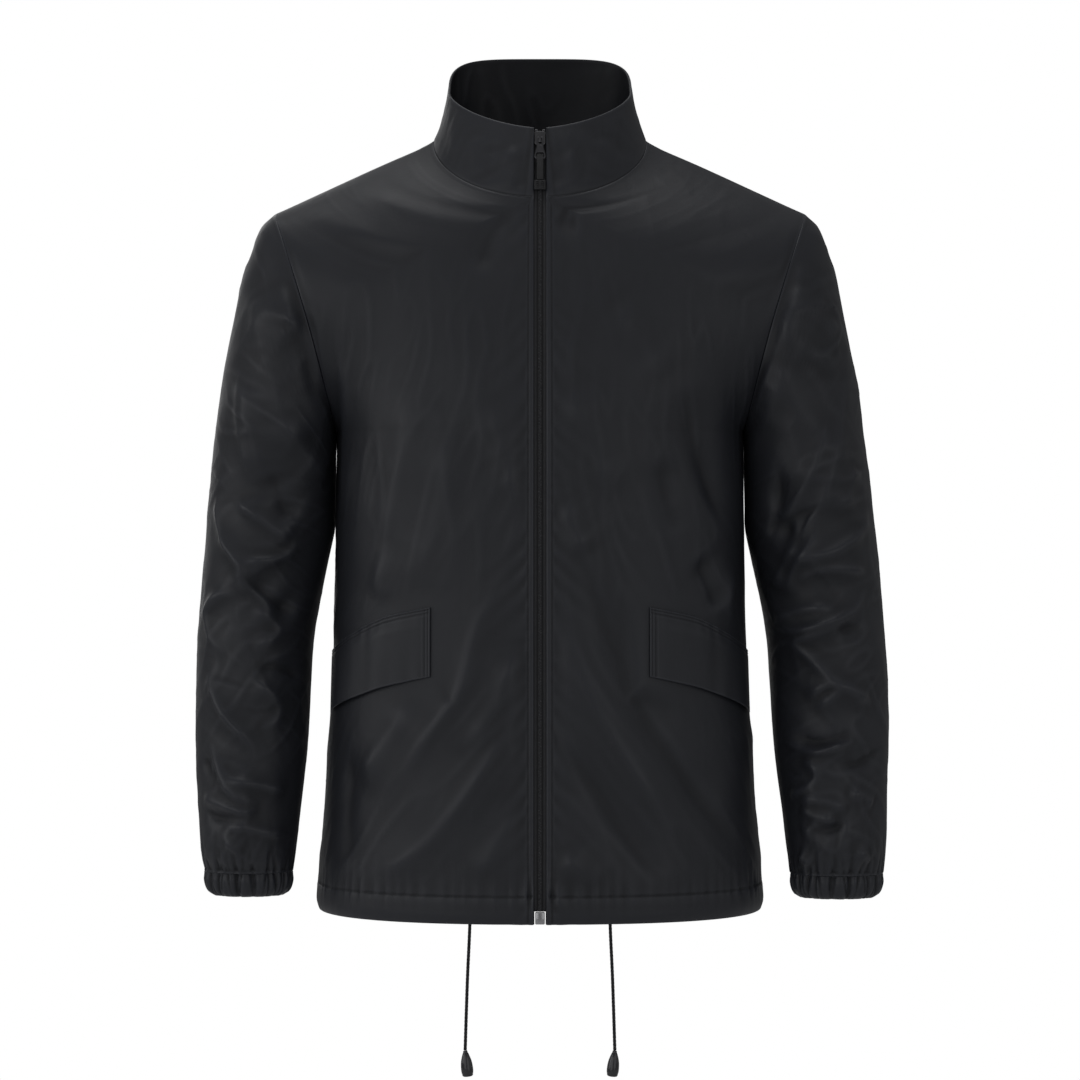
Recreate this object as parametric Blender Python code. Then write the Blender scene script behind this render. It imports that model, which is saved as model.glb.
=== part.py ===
"""A zip-front rain jacket, filled out as if worn, made of the pieces it is cut and sewn from.

The jacket hangs with +Z up and its front towards -Y, so -X is the wearer's right side. The origin
is the middle of the neck, level with the tops of the shoulder seams. All sizes are in metres.
"""
import math
from collections import namedtuple

import bmesh
import bpy
from mathutils import Vector
from mathutils.geometry import interpolate_bezier

for old in list(bpy.data.objects):
    bpy.data.objects.remove(old, do_unlink=True)

# Cloth walls, and the room left between two pieces at a seam
WALL = 0.0016
DOUBLE_WALL = 0.0024
SEAM = 0.0003
HALF_SEAM = SEAM / 2

# The jacket's main heights
HEM = -0.700
CASING_TOP = -0.675
UNDERARM = -0.265

# The neck seam: a loop that drops at the front
NECK_HALF_WIDTH = 0.098
NECK_FRONT_DEPTH = 0.095
NECK_BACK_DEPTH = 0.085
NECK_FRONT_HEIGHT = -0.057
NECK_SIDE_HEIGHT = 0.004
NECK_BACK_HEIGHT = 0.022

# The armhole seam: an oval that leans out towards the shoulder point
ARMHOLE_MIDDLE = Vector((0.2148, 0.0, -0.1644))
ARMHOLE_LEAN = 0.0288
ARMHOLE_HALF_HEIGHT = 0.1006
ARMHOLE_BOW = 0.0055
ARMHOLE_FRONT_DEPTH = 0.078
ARMHOLE_BACK_DEPTH = 0.085

# How many cells each piece is drawn with
ARMHOLE_CELLS = 14
NECK_CELLS = ARMHOLE_CELLS // 2
BODY_CELLS_UP = 16
PANEL_CELLS_ROUND = 12
SLEEVE_ROWS = 19
CUFF_GATHERS = 28

FRONT, BACK = -1, 1
LEFT, RIGHT = -1, 1


class Table:
    """A short table with named columns, read smoothly between its rows."""

    def __init__(self, names, *rows):
        self.names = names.split()
        self.rows = rows

    def column(self, name):
        place = self.names.index(name)
        return [row[place] for row in self.rows]

    def at(self, name, key):
        """The value of a column where the first column has the value key."""
        keys = self.column(self.names[0])
        values = self.column(name)
        last = len(keys) - 1
        cell = max(k for k in range(last) if k == 0 or keys[k] <= key)

        def slope(k):
            low, high = max(k - 1, 0), min(k + 1, last)
            return (values[high] - values[low]) / (keys[high] - keys[low])

        width = keys[cell + 1] - keys[cell]
        share = (key - keys[cell]) / width
        rest = 1 - share
        return (
            values[cell] * (1 + 2 * share) * rest * rest
            + values[cell + 1] * (1 + 2 * rest) * share * share
            + (slope(cell) * rest - slope(cell + 1) * share) * width * share * rest
        )


# The body's outline from the side and from the front
FRONT_LINE = Table(
    "height depth",
    (-0.700, 0.1465), (-0.692, 0.1495), (-0.640, 0.1490), (-0.560, 0.1465), (-0.480, 0.1435),
    (-0.400, 0.1405), (-0.330, 0.1375), (-0.265, 0.1345), (-0.200, 0.1275), (-0.165, 0.1205),
    (-0.120, 0.1100), (-0.057, 0.0950),
)
BACK_LINE = Table(
    "height depth",
    (-0.700, 0.1365), (-0.692, 0.1395), (-0.640, 0.1390), (-0.560, 0.1365), (-0.480, 0.1340),
    (-0.400, 0.1320), (-0.330, 0.1300), (-0.265, 0.1285), (-0.200, 0.1275), (-0.140, 0.1230),
    (-0.080, 0.1135), (-0.030, 0.1010), (0.022, 0.0850),
)
SIDE_LINE = Table(
    "height half_width",
    (-0.700, 0.2022), (-0.692, 0.2045), (-0.680, 0.2038), (-0.640, 0.2005), (-0.560, 0.1950),
    (-0.480, 0.1903), (-0.400, 0.1880), (-0.340, 0.1872), (-0.290, 0.1862), (-0.265, 0.1860),
)

# Above the underarm, each row of cloth runs from the zip or the neckline to the armhole. The
# columns say how far its two handles reach along it, and how far they push out of the body.
ROUNDNESS = 0.64
FRONT_YOKE = Table(
    "rise reach_in push_in reach_out push_out",
    (0.00, 0.64, 0.000, 0.00, 0.086),
    (0.25, 0.60, 0.005, 0.17, 0.046),
    (0.50, 0.34, 0.007, 0.30, 0.029),
    (0.75, 0.33, 0.004, 0.33, 0.012),
    (1.00, 0.33, 0.000, 0.33, 0.000),
)
BACK_YOKE = Table(
    "rise reach_in push_in reach_out push_out",
    (0.00, 0.64, 0.000, 0.00, 0.082),
    (0.25, 0.60, 0.005, 0.15, 0.053),
    (0.50, 0.34, 0.023, 0.30, 0.035),
    (0.75, 0.33, 0.019, 0.33, 0.018),
    (1.00, 0.33, 0.000, 0.33, 0.000),
)

# The sleeve's rings from the armhole to the cuff. Each is an oval through its outermost and its
# innermost point, as deep to the front and the back as said; bow pulls its middle inwards.
SLEEVE = Table(
    "ring outer_x outer_z inner_x inner_z middle_y front back bow",
    (0, 0.2436, -0.0638, 0.1860, -0.2650, 0.000, 0.0780, 0.0850, 0.0055),
    (1, 0.2560, -0.0770, 0.1874, -0.2800, 0.000, 0.0785, 0.0830, 0.0040),
    (2, 0.2650, -0.1005, 0.1875, -0.2950, 0.001, 0.0790, 0.0810, 0.0020),
    (3, 0.2740, -0.1280, 0.1879, -0.3100, 0.002, 0.0790, 0.0800, 0.0),
    (4, 0.2860, -0.1840, 0.1885, -0.3330, 0.003, 0.0790, 0.0790, 0.0),
    (5, 0.2935, -0.2250, 0.1895, -0.3550, 0.004, 0.0770, 0.0770, 0.0),
    (6, 0.3000, -0.2800, 0.1960, -0.3860, 0.005, 0.0750, 0.0750, 0.0),
    (7, 0.3055, -0.3350, 0.2030, -0.4200, 0.004, 0.0720, 0.0720, 0.0),
    (8, 0.3100, -0.3910, 0.2083, -0.4550, 0.001, 0.0700, 0.0700, 0.0),
    (9, 0.3138, -0.4500, 0.2105, -0.4950, -0.004, 0.0670, 0.0670, 0.0),
    (10, 0.3148, -0.5100, 0.2120, -0.5350, -0.011, 0.0630, 0.0630, 0.0),
    (11, 0.3138, -0.5637, 0.2148, -0.5750, -0.019, 0.0590, 0.0590, 0.0),
    (12, 0.3113, -0.6088, 0.2190, -0.6130, -0.026, 0.0550, 0.0550, 0.0),
    (13, 0.3087, -0.6420, 0.2218, -0.6430, -0.032, 0.0470, 0.0470, 0.0),
    (14, 0.3050, -0.6633, 0.2243, -0.6633, -0.036, 0.0340, 0.0340, 0.0),
)
# The wearer's left sleeve swings out a little more than the right one, and hangs lower
LEFT_SLEEVE_SWING = Table(
    "ring outwards_outside outwards_inside down",
    (0, 0.0, 0.0, 0.0),
    (2, 0.0, 0.0, 0.0),
    (4, -0.0015, 0.0, 0.0),
    (6, -0.0005, 0.0, 0.0),
    (8, 0.0015, 0.0005, 0.0),
    (10, 0.0035, 0.0012, 0.0),
    (12, 0.0050, 0.0026, 0.0010),
    (14, 0.0068, 0.0030, 0.0022),
)
CUFF = Table(
    "height half_width half_depth wave",
    (-0.6851, 0.0300, 0.0220, 0.0008),
    (-0.6815, 0.0358, 0.0265, 0.0012),
    (-0.6740, 0.0390, 0.0290, 0.0014),
    (-0.6633, 0.0398, 0.0300, 0.0012),
)
CUFF_TOP = -0.6633
LAST_RING = 14

# The collar's top edge, and how square its plan is at the front and at the back
COLLAR_HALF_WIDTH = 0.0846
COLLAR_HALF_DEPTH = 0.078
COLLAR_SIDE_HEIGHT = 0.049
COLLAR_RISE = 0.042
COLLAR_FRONT_ROUND = 1.25
COLLAR_BACK_ROUND = 0.50
COLLAR_HOLLOW = 0.0035
COLLAR_TOP_INSET = 0.0007
COLLAR_ROWS = (0.0, 0.3, 0.62, 0.94, 1.0)
COLLAR_FRONT_TOP = COLLAR_SIDE_HEIGHT - COLLAR_RISE
COLLAR_LEAN = math.atan2(NECK_FRONT_DEPTH - COLLAR_HALF_DEPTH, COLLAR_FRONT_TOP - NECK_FRONT_HEIGHT)

# A pocket flap slopes down towards the side seam; gap is how far its edges stand off the front
FLAP = Table(
    "x top bottom top_gap bottom_gap",
    (0.0963, -0.4222, -0.4835, 0.0005, 0.0005),
    (0.1180, -0.4265, -0.4885, 0.0005, 0.0005),
    (0.1405, -0.4324, -0.4946, 0.0005, 0.0012),
    (0.1654, -0.4455, -0.5050, 0.0006, 0.0032),
    (0.1800, -0.4560, -0.5135, 0.0004, 0.0040),
    (0.1885, -0.4640, -0.5200, 0.0002, 0.0008),
)
FLAP_WALL = 0.0014
FLAP_MARGIN = 0.010
FLAP_CELLS = 10

# The zip, and the fronts' edges beside it; depths are counted from the front edges' outside
FRONT_EDGE = 0.0055
FACING_SHARE = 0.035
CHAIN_HALF_WIDTH = 0.0028
TAPE_INNER_EDGE = 0.0032
TAPE_OUTER_EDGE = 0.0160
TAPE_DEPTH = DOUBLE_WALL + 0.0005
TAPE_THICKNESS = 0.0008
ZIP_TOP = 0.0062
BOX_HALF_WIDTH = 0.0042
BOX_DEPTHS = (0.0005, 0.0046)
BOX_TOP = -0.6885
BOX_BOTTOM = -0.6993
STOP_SIDES = (0.0020, 0.0048)
STOP_DEPTHS = (0.0009, TAPE_DEPTH - SEAM)
STOP_HEIGHTS = (0.0071, 0.0092)

# The slider: a plate either side of the coil, a post above it, and a bridge that holds the pull
SLIDER_HEIGHT = -0.0035
PLATE_HALF_WIDTH = 0.0047
PLATE_HALF_HEIGHT = 0.0065
PLATE_CORNER = 0.002
PLATE_FRONT = -0.0013
PLATE_BACK = 0.0009
REAR_PLATE = 0.0047
REAR_PLATE_THICKNESS = 0.0012
POST_HALF_WIDTH = 0.0016
POST_HEIGHTS = (0.0035, 0.0060)
BRIDGE_HALF_WIDTH = 0.0011
BRIDGE_HALF_HEIGHT = 0.0052
BRIDGE_ROOM = 0.0022
BRIDGE_BAR = 0.0011
OVERLAP = 0.0005
HINGE_DEPTH = PLATE_FRONT - BRIDGE_ROOM / 2

# The pull, counted from its hinge: half of the tab's outline, its two holes, the loop and the grip
TAB_HALF_THICKNESS = 0.0006
TAB_OUTLINE = (
    (0.0014, 0.0008), (0.0029, -0.0004), (0.0031, -0.0100), (0.0046, -0.0150), (0.0050, -0.0185),
    (0.0042, -0.0202), (0.0020, -0.0206),
)
TAB_SLOT = ((-0.0016, 0.0016), (-0.0068, -0.0007))
TAB_EYE = ((-0.0037, 0.0037), (-0.0190, -0.0145))
LOOP_HALF_WIDTH = 0.0029
LOOP_HALF_THICKNESS = 0.0016
LOOP_ROOM_HALF_THICKNESS = 0.0010
LOOP_ROOM = (-0.0211, -0.0180)
LOOP_TOP = -0.0164
LOOP_BOTTOM = -0.0405
GRIP_HALF_WIDTH = 0.0051
GRIP_BOTTOM = -0.0500

# The drawcord's free ends, their eyelets inside the hem and their teardrop tips
CORD_RADIUS = 0.0015
CORD_EXIT_HEIGHT = -0.6840
CORD_EXIT_X = 0.0610
CORD_STEP = 0.0070
EYELET_OUTER = 0.0042
EYELET_INNER = 0.0021
EYELET_THICKNESS = 0.0010
EYELET_SIDES = 16
TIP_TILT = math.radians(6)
TIP_SIDES = 12
TIP = Table(
    "down radius",
    (0.0, 0.0018), (0.0035, 0.0031), (0.0070, 0.0042), (0.0105, 0.0049), (0.0150, 0.0053),
    (0.0185, 0.0052), (0.0215, 0.0038), (0.0229, 0.0016),
)
CORD_ROUTE = Table(
    "down outwards inside",
    (0.0, 0.0, 0.0), (0.0, 0.0, 0.0030), (0.0012, 0.0, 0.0062), (0.0042, 0.0001, 0.0086),
    (0.0090, 0.0004, 0.0094), (0.0300, 0.0012, 0.0096), (0.0600, 0.0026, 0.0094),
    (0.0950, 0.0038, 0.0092), (0.1277, 0.0048, 0.0092),
)

# How far the cloth falls back between the front edge and the tape's outer edge
SET_BACK = Table(
    "height depth",
    (-0.700, 0.0004), (-0.100, 0.0004), (-0.066, 0.0010), (-0.052, 0.0022), (0.010, 0.0044),
)

# A fold is a soft ridge, or a trough where its height is negative, along a route of (x, z) points
Fold = namedtuple("Fold", "height width route")
FRONT_FOLDS = (
    Fold(0.006, 0.016, ((-0.117, -0.048), (-0.173, -0.101))),
    Fold(-0.005, 0.016, ((-0.111, -0.075), (-0.180, -0.148))),
    Fold(0.004, 0.020, ((-0.104, -0.212), (-0.136, -0.381))),
    Fold(0.007, 0.022, ((-0.024, -0.386), (-0.058, -0.440), (-0.072, -0.495), (-0.138, -0.589))),
    Fold(0.007, 0.024, ((-0.024, -0.519), (-0.059, -0.580), (-0.100, -0.631), (-0.143, -0.662))),
    Fold(-0.005, 0.018, ((-0.040, -0.470), (-0.080, -0.560), (-0.130, -0.630))),
    Fold(0.005, 0.018, ((-0.112, -0.515), (-0.163, -0.590))),
    Fold(0.005, 0.016, ((0.150, -0.090), (0.182, -0.148))),
    Fold(-0.006, 0.018, ((0.124, -0.227), (0.141, -0.283), (0.165, -0.359))),
    Fold(0.004, 0.020, ((0.030, -0.219), (0.065, -0.330))),
    Fold(-0.007, 0.022, ((0.034, -0.374), (0.069, -0.466), (0.099, -0.528), (0.180, -0.648))),
    Fold(0.006, 0.022, ((0.030, -0.430), (0.060, -0.530), (0.110, -0.610))),
    Fold(-0.006, 0.020, ((0.020, -0.542), (0.057, -0.596), (0.114, -0.662))),
)
BACK_FOLDS = (
    Fold(-0.006, 0.020, ((-0.150, -0.150), (-0.105, -0.290))),
    Fold(-0.006, 0.020, ((0.148, -0.140), (0.110, -0.280))),
    Fold(0.005, 0.024, ((-0.060, -0.260), (-0.085, -0.420))),
    Fold(0.006, 0.024, ((0.040, -0.300), (0.070, -0.460))),
    Fold(-0.006, 0.024, ((-0.160, -0.420), (-0.080, -0.540), (-0.050, -0.640))),
    Fold(0.006, 0.024, ((-0.120, -0.500), (-0.060, -0.620))),
    Fold(-0.006, 0.024, ((0.165, -0.440), (0.100, -0.560), (0.080, -0.650))),
    Fold(0.006, 0.022, ((0.130, -0.520), (0.120, -0.640))),
)
# On a sleeve, x is counted from the sleeve's middle line, outwards
SLEEVE_FRONT_FOLDS = (
    Fold(0.006, 0.014, ((0.030, -0.125), (0.012, -0.280))),
    Fold(-0.005, 0.014, ((0.008, -0.150), (-0.012, -0.300))),
    Fold(-0.007, 0.014, ((0.045, -0.330), (-0.045, -0.368))),
    Fold(0.007, 0.016, ((0.040, -0.368), (-0.030, -0.420))),
    Fold(-0.006, 0.014, ((0.045, -0.440), (-0.045, -0.425))),
    Fold(0.006, 0.016, ((0.042, -0.490), (-0.045, -0.500))),
    Fold(-0.006, 0.014, ((0.040, -0.530), (-0.040, -0.560))),
    Fold(0.005, 0.014, ((0.038, -0.585), (-0.040, -0.590))),
)
SLEEVE_BACK_FOLDS = (
    Fold(-0.006, 0.016, ((0.020, -0.150), (0.000, -0.300))),
    Fold(0.006, 0.018, ((0.042, -0.360), (-0.040, -0.380))),
    Fold(-0.005, 0.016, ((0.042, -0.450), (-0.040, -0.440))),
    Fold(0.006, 0.018, ((0.040, -0.520), (-0.040, -0.535))),
    Fold(-0.005, 0.016, ((0.038, -0.585), (-0.038, -0.600))),
)


def cloth_material(name, colour, roughness, metallic=0.0):
    material = bpy.data.materials.new(name)
    material.use_nodes = True
    shader = material.node_tree.nodes["Principled BSDF"]
    shader.inputs["Base Color"].default_value = (*colour, 1)
    shader.inputs["Roughness"].default_value = roughness
    shader.inputs["Metallic"].default_value = metallic
    return material


SHELL_CLOTH = cloth_material("shell_cloth", (0.022, 0.024, 0.029), 0.45)
TAPE_CLOTH = cloth_material("zip_tape", (0.018, 0.019, 0.023), 0.75)
CORD_YARN = cloth_material("cord_yarn", (0.035, 0.036, 0.045), 0.8)
COIL_NYLON = cloth_material("coil_nylon", (0.030, 0.031, 0.036), 0.35)
PULL_RUBBER = cloth_material("pull_rubber", (0.028, 0.029, 0.033), 0.55)
NICKEL = cloth_material("nickel", (0.62, 0.62, 0.64), 0.25, 1.0)
GREY_METAL = cloth_material("grey_metal", (0.28, 0.29, 0.32), 0.3, 1.0)


def finish(name, bm, material, smooth=True):
    """Puts a finished shape into the scene as the named object."""
    bmesh.ops.recalc_face_normals(bm, faces=bm.faces)
    mesh = bpy.data.meshes.new(name)
    bm.to_mesh(mesh)
    bm.free()
    mesh.materials.append(material)
    if smooth:
        mesh.shade_smooth()
        mesh.set_sharp_from_angle(angle=math.radians(50))
    piece = bpy.data.objects.new(name, mesh)
    bpy.context.scene.collection.objects.link(piece)
    return piece


def ease(share):
    """Goes smoothly from 0 to 1, and stays there."""
    share = min(max(share, 0.0), 1.0)
    return share * share * (3 - 2 * share)


def fold_height(folds, x, z):
    """How far the folds lift the cloth at a place in the front view."""
    place = Vector((x, z))
    height = 0.0
    for fold in folds:
        route = [Vector(point) for point in fold.route]
        spans = [(end - start).length for start, end in zip(route, route[1:])]
        nearest, along = None, 0.0
        walked = 0.0
        for start, end, span in zip(route, route[1:], spans):
            share = min(max((place - start).dot(end - start) / span ** 2, 0.0), 1.0)
            apart = (place - start.lerp(end, share)).length
            if nearest is None or apart < nearest:
                nearest, along = apart, (walked + share * span) / sum(spans)
            walked += span
        taper = ease(4 * along) * ease(4 * (1 - along))
        height += fold.height * (0.35 + 0.65 * taper) * math.exp(-((nearest / fold.width) ** 2))
    return height


def clear_of_flap(x, z):
    """Goes from 1 in open cloth to 0 under a pocket flap, where the front lies smooth."""
    x = abs(x)
    first, last = FLAP.rows[0][0], FLAP.rows[-1][0]
    held = min(max(x, first), last)
    above = z - FLAP.at("top", held)
    below = FLAP.at("bottom", held) - z
    outside = max(above, below, first - x)
    return ease((outside - FLAP_MARGIN) / 0.02)


def neck_point(angle, face):
    """A point of the neck seam; the angle runs from 0 at the middle to a quarter turn at the side."""
    depth, height = {
        FRONT: (NECK_FRONT_DEPTH, NECK_FRONT_HEIGHT),
        BACK: (NECK_BACK_DEPTH, NECK_BACK_HEIGHT),
    }[face]
    return Vector((
        NECK_HALF_WIDTH * math.sin(angle),
        face * depth * math.cos(angle),
        height + (NECK_SIDE_HEIGHT - height) * (1 - math.cos(angle)),
    ))


def neck_inward(angle, face):
    """The direction of the neck seam's allowance, from the outside of the cloth to its inside."""
    dip_at_middle = {FRONT: 0.24, BACK: 0.19}[face]
    dip_at_side = 0.65
    dip = dip_at_middle + (dip_at_side - dip_at_middle) * math.sin(angle) ** 2
    level = math.sqrt(1 - dip * dip)
    return Vector((-level * math.sin(angle), -face * level * math.cos(angle), -dip))


def armhole_point(angle, face):
    """A point of the armhole; the angle runs from 0 at the shoulder to half a turn underneath."""
    depth = {FRONT: ARMHOLE_FRONT_DEPTH, BACK: ARMHOLE_BACK_DEPTH}[face]
    return ARMHOLE_MIDDLE + Vector((
        ARMHOLE_LEAN * math.cos(angle) - ARMHOLE_BOW * math.sin(angle) ** 2,
        face * depth * math.sin(angle),
        ARMHOLE_HALF_HEIGHT * math.cos(angle),
    ))


def armhole_inward(angle, face):
    return (ARMHOLE_MIDDLE - armhole_point(angle, face)).normalized()


def across_seam(seam_point, seam_inward, angle, face, towards):
    """The direction across a seam, on the side that the vector towards looks to."""
    step = 0.01
    along = seam_point(angle + step, face) - seam_point(angle - step, face)
    across = along.cross(seam_inward(angle, face)).normalized()
    return across if across.dot(towards) > 0 else -across


def shoulder_inward(share):
    """The shoulder seam's allowance, turning from the neck's direction to the armhole's."""
    slope = armhole_point(0, FRONT) - neck_point(math.pi / 2, FRONT)
    middle = Vector((slope.z, 0, -slope.x)).normalized()
    at_neck = neck_inward(math.pi / 2, FRONT)
    at_armhole = armhole_inward(0, FRONT)
    toward = at_neck.lerp(middle, ease(share * 4)).lerp(at_armhole, ease(share * 4 - 3))
    return toward.normalized()


def body_row(face, height):
    """The Bezier handles of a level row of cloth, from the centre front or back to the side."""
    depth = {FRONT: FRONT_LINE, BACK: BACK_LINE}[face].at("depth", height)
    side = SIDE_LINE.at("half_width", height)
    start = Vector((FRONT_EDGE if face == FRONT else 0.0, face * depth, height))
    return (
        start,
        start + Vector((ROUNDNESS * (side - start.x), 0, 0)),
        Vector((side, face * ROUNDNESS * depth, height)),
        Vector((side, 0, height)),
    )


def yoke_row(face, rise):
    """The Bezier handles of a row above the underarm; rise is 1 along the shoulder seam."""
    yoke = {FRONT: FRONT_YOKE, BACK: BACK_YOKE}[face]
    line = {FRONT: FRONT_LINE, BACK: BACK_LINE}[face]
    neck_height = {FRONT: NECK_FRONT_HEIGHT, BACK: NECK_BACK_HEIGHT}[face]
    if rise < 0.5:
        height = UNDERARM + (neck_height - UNDERARM) * rise * 2
        start = Vector((0, face * line.at("depth", height), height))
    else:
        start = neck_point(math.pi * (rise - 0.5), face)
    if face == FRONT:
        start.x = max(start.x, FRONT_EDGE)
    end = armhole_point(math.pi * (1 - rise), face)
    width = end.x - start.x
    drop = (end.z - start.z) / 3
    return (
        start,
        start + Vector((yoke.at("reach_in", rise) * width, face * yoke.at("push_in", rise), drop)),
        end - Vector((yoke.at("reach_out", rise) * width, -face * yoke.at("push_out", rise), drop)),
        end,
    )


def on_row(handles, share):
    """The point of a row at a share of its way from the middle to the side."""
    a, b, c, d = handles
    rest = 1 - share
    inner = b * (3 * rest * rest * share) + c * (3 * rest * share * share)
    return a * rest ** 3 + inner + d * share ** 3


def share_at(handles, x):
    """The share of a row where it has gone out as far as x."""
    low, high = 0.0, 1.0
    for _ in range(30):
        middle = (low + high) / 2
        if on_row(handles, middle).x < x:
            low = middle
        else:
            high = middle
    return low


def front_surface(x, height):
    """The point of the smooth front at a width and a height below the underarm."""
    handles = body_row(FRONT, height)
    return on_row(handles, share_at(handles, x))


# A corner of a cloth grid: its place, its wall, and its seam's inward direction if it is on one
Corner = namedtuple("Corner", "point wall inward")


def cloth_wall(name, grids, material, closed=False, level_rims=False):
    """One piece of cloth: grids of corners, sewn together where they meet, and given their wall."""
    bm = bmesh.new()
    wall = bm.verts.layers.float.new("wall")
    inward = bm.verts.layers.float_vector.new("inward")
    for grid in grids:
        rows = []
        for row in grid:
            verts = []
            for corner in row:
                vert = bm.verts.new(corner.point)
                vert[wall] = corner.wall
                vert[inward] = corner.inward or Vector()
                verts.append(vert)
            rows.append(verts)
        for low, high in zip(rows, rows[1:]):
            count = len(low) if closed else len(low) - 1
            for k in range(count):
                n = (k + 1) % len(low)
                bm.faces.new((low[k], low[n], high[n], high[k]))
    bmesh.ops.remove_doubles(bm, verts=bm.verts, dist=1e-6)
    bmesh.ops.recalc_face_normals(bm, faces=bm.faces)
    bm.normal_update()
    middle = sum((vert.co for vert in bm.verts), Vector()) / len(bm.verts)
    if sum(vert.normal.dot(vert.co - middle) for vert in bm.verts) < 0:
        bmesh.ops.reverse_faces(bm, faces=bm.faces)
        bm.normal_update()
    for vert in bm.verts:
        if not vert[inward].length:
            toward = -vert.normal
            if vert.is_boundary and (vert.co.z < HEM + SEAM or level_rims):
                toward.z = 0
            vert[inward] = toward.normalized()
    made = bmesh.ops.extrude_face_region(bm, geom=bm.faces[:], use_keep_orig=True)
    for vert in made["geom"]:
        if isinstance(vert, bmesh.types.BMVert):
            vert.co += vert[inward] * vert[wall]
    return finish(name, bm, material)


def mirrored(grid, side):
    """The grid as it lies on the left (-1) or the right (+1) of the jacket."""
    def turn(v):
        return Vector((side * v.x, v.y, v.z)) if v else v

    return [[Corner(turn(c.point), c.wall, turn(c.inward)) for c in row] for row in grid]


def half_panel(face, side, shares, folds):
    """Half of the body's front or back, with its folds, from the hem to the shoulder seam."""
    step = (UNDERARM - CASING_TOP) / BODY_CELLS_UP
    heights = [HEM, HEM + 0.008, CASING_TOP - 0.0005, CASING_TOP + 0.0005]
    heights += [CASING_TOP + step * (k + 1) for k in range(BODY_CELLS_UP)]
    levels = [(body_row(face, height), height, 0.0) for height in heights]
    rises = [(k + 1) / ARMHOLE_CELLS for k in range(ARMHOLE_CELLS)]
    levels += [(yoke_row(face, rise), UNDERARM, rise) for rise in rises]
    grid = []
    for handles, height, rise in levels:
        row = []
        for share in shares:
            point = on_row(handles, share)
            faced = face == FRONT and share <= FACING_SHARE and rise <= 0.5
            doubled = height < CASING_TOP or faced
            wall = DOUBLE_WALL if doubled else WALL
            calm = ease((1 - share) * 8)
            calm *= ease((CASING_TOP - point.z) / -0.05) * ease((1 - rise) * 4)
            if face == FRONT or rise > 0.5:
                calm *= ease((share - FACING_SHARE) * 8)
            if face == FRONT:
                calm *= clear_of_flap(point.x, point.z)
            lift = fold_height(folds, side * point.x, point.z) * calm
            outward = Vector((point.x * 0.5, point.y, 0)).normalized()
            row.append(Corner(point + outward * lift, wall, None))
        grid.append(row)
    sew_edges(grid, face, rises)
    return mirrored(grid, side)


def sew_edges(grid, face, rises):
    """Draws the half panel's edges back from their seams, and gives each its seam's direction."""
    apart = Vector((0, face * HALF_SEAM, 0))
    first_yoke = len(grid) - len(rises)
    last = len(grid[0]) - 1
    for k in range(first_yoke):
        corner = grid[k][last]
        grid[k][last] = Corner(corner.point + apart, corner.wall, Vector((-1, 0, 0)))
    for k in [first_yoke - 1] + list(range(first_yoke, len(grid))):
        rise = rises[k - first_yoke] if k >= first_yoke else 0.0
        angle = math.pi * (1 - rise)
        away = across_seam(armhole_point, armhole_inward, angle, face, Vector((-1, 0, 0)))
        point = armhole_point(angle, face) + away * HALF_SEAM
        if k in (first_yoke - 1, len(grid) - 1):
            point += apart
        grid[k][last] = Corner(point, WALL * (2 if rise < 0.1 else 1), armhole_inward(angle, face))
    for k, rise in enumerate(rises, start=first_yoke):
        if rise >= 0.5:
            angle = math.pi * (rise - 0.5)
            away = across_seam(neck_point, neck_inward, angle, face, Vector((0, 0, -1)))
            corner = grid[k][0]
            grid[k][0] = Corner(corner.point + away * HALF_SEAM, corner.wall, neck_inward(angle, face))
    top = grid[-1]
    for k, corner in enumerate(top):
        share = k / last
        if 0 < k < last:
            top[k] = Corner(corner.point + apart, corner.wall, shoulder_inward(share))
    top[0] = Corner(top[0].point + apart, top[0].wall, top[0].inward)


def build_fronts():
    shares = [0.0] + [
        FACING_SHARE + (1 - FACING_SHARE) * k / PANEL_CELLS_ROUND for k in range(PANEL_CELLS_ROUND + 1)
    ]
    for name, side in (("front_right", LEFT), ("front_left", RIGHT)):
        cloth_wall(name, [half_panel(FRONT, side, shares, FRONT_FOLDS)], SHELL_CLOTH)


def build_back():
    shares = [k / PANEL_CELLS_ROUND for k in range(PANEL_CELLS_ROUND + 1)]
    halves = [half_panel(BACK, side, shares, BACK_FOLDS) for side in (LEFT, RIGHT)]
    cloth_wall("back", halves, SHELL_CLOTH)


def sleeve_sides(ring, side):
    """The outermost and the innermost point of a sleeve's ring."""
    def at(name):
        return SLEEVE.at(name, ring)

    outer = Vector((at("outer_x"), at("middle_y"), at("outer_z")))
    inner = Vector((at("inner_x"), at("middle_y"), at("inner_z")))
    if side == RIGHT:
        down = Vector((0, 0, -LEFT_SLEEVE_SWING.at("down", ring)))
        outer += down + Vector((LEFT_SLEEVE_SWING.at("outwards_outside", ring), 0, 0))
        inner += down + Vector((LEFT_SLEEVE_SWING.at("outwards_inside", ring), 0, 0))
    return outer, inner


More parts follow.
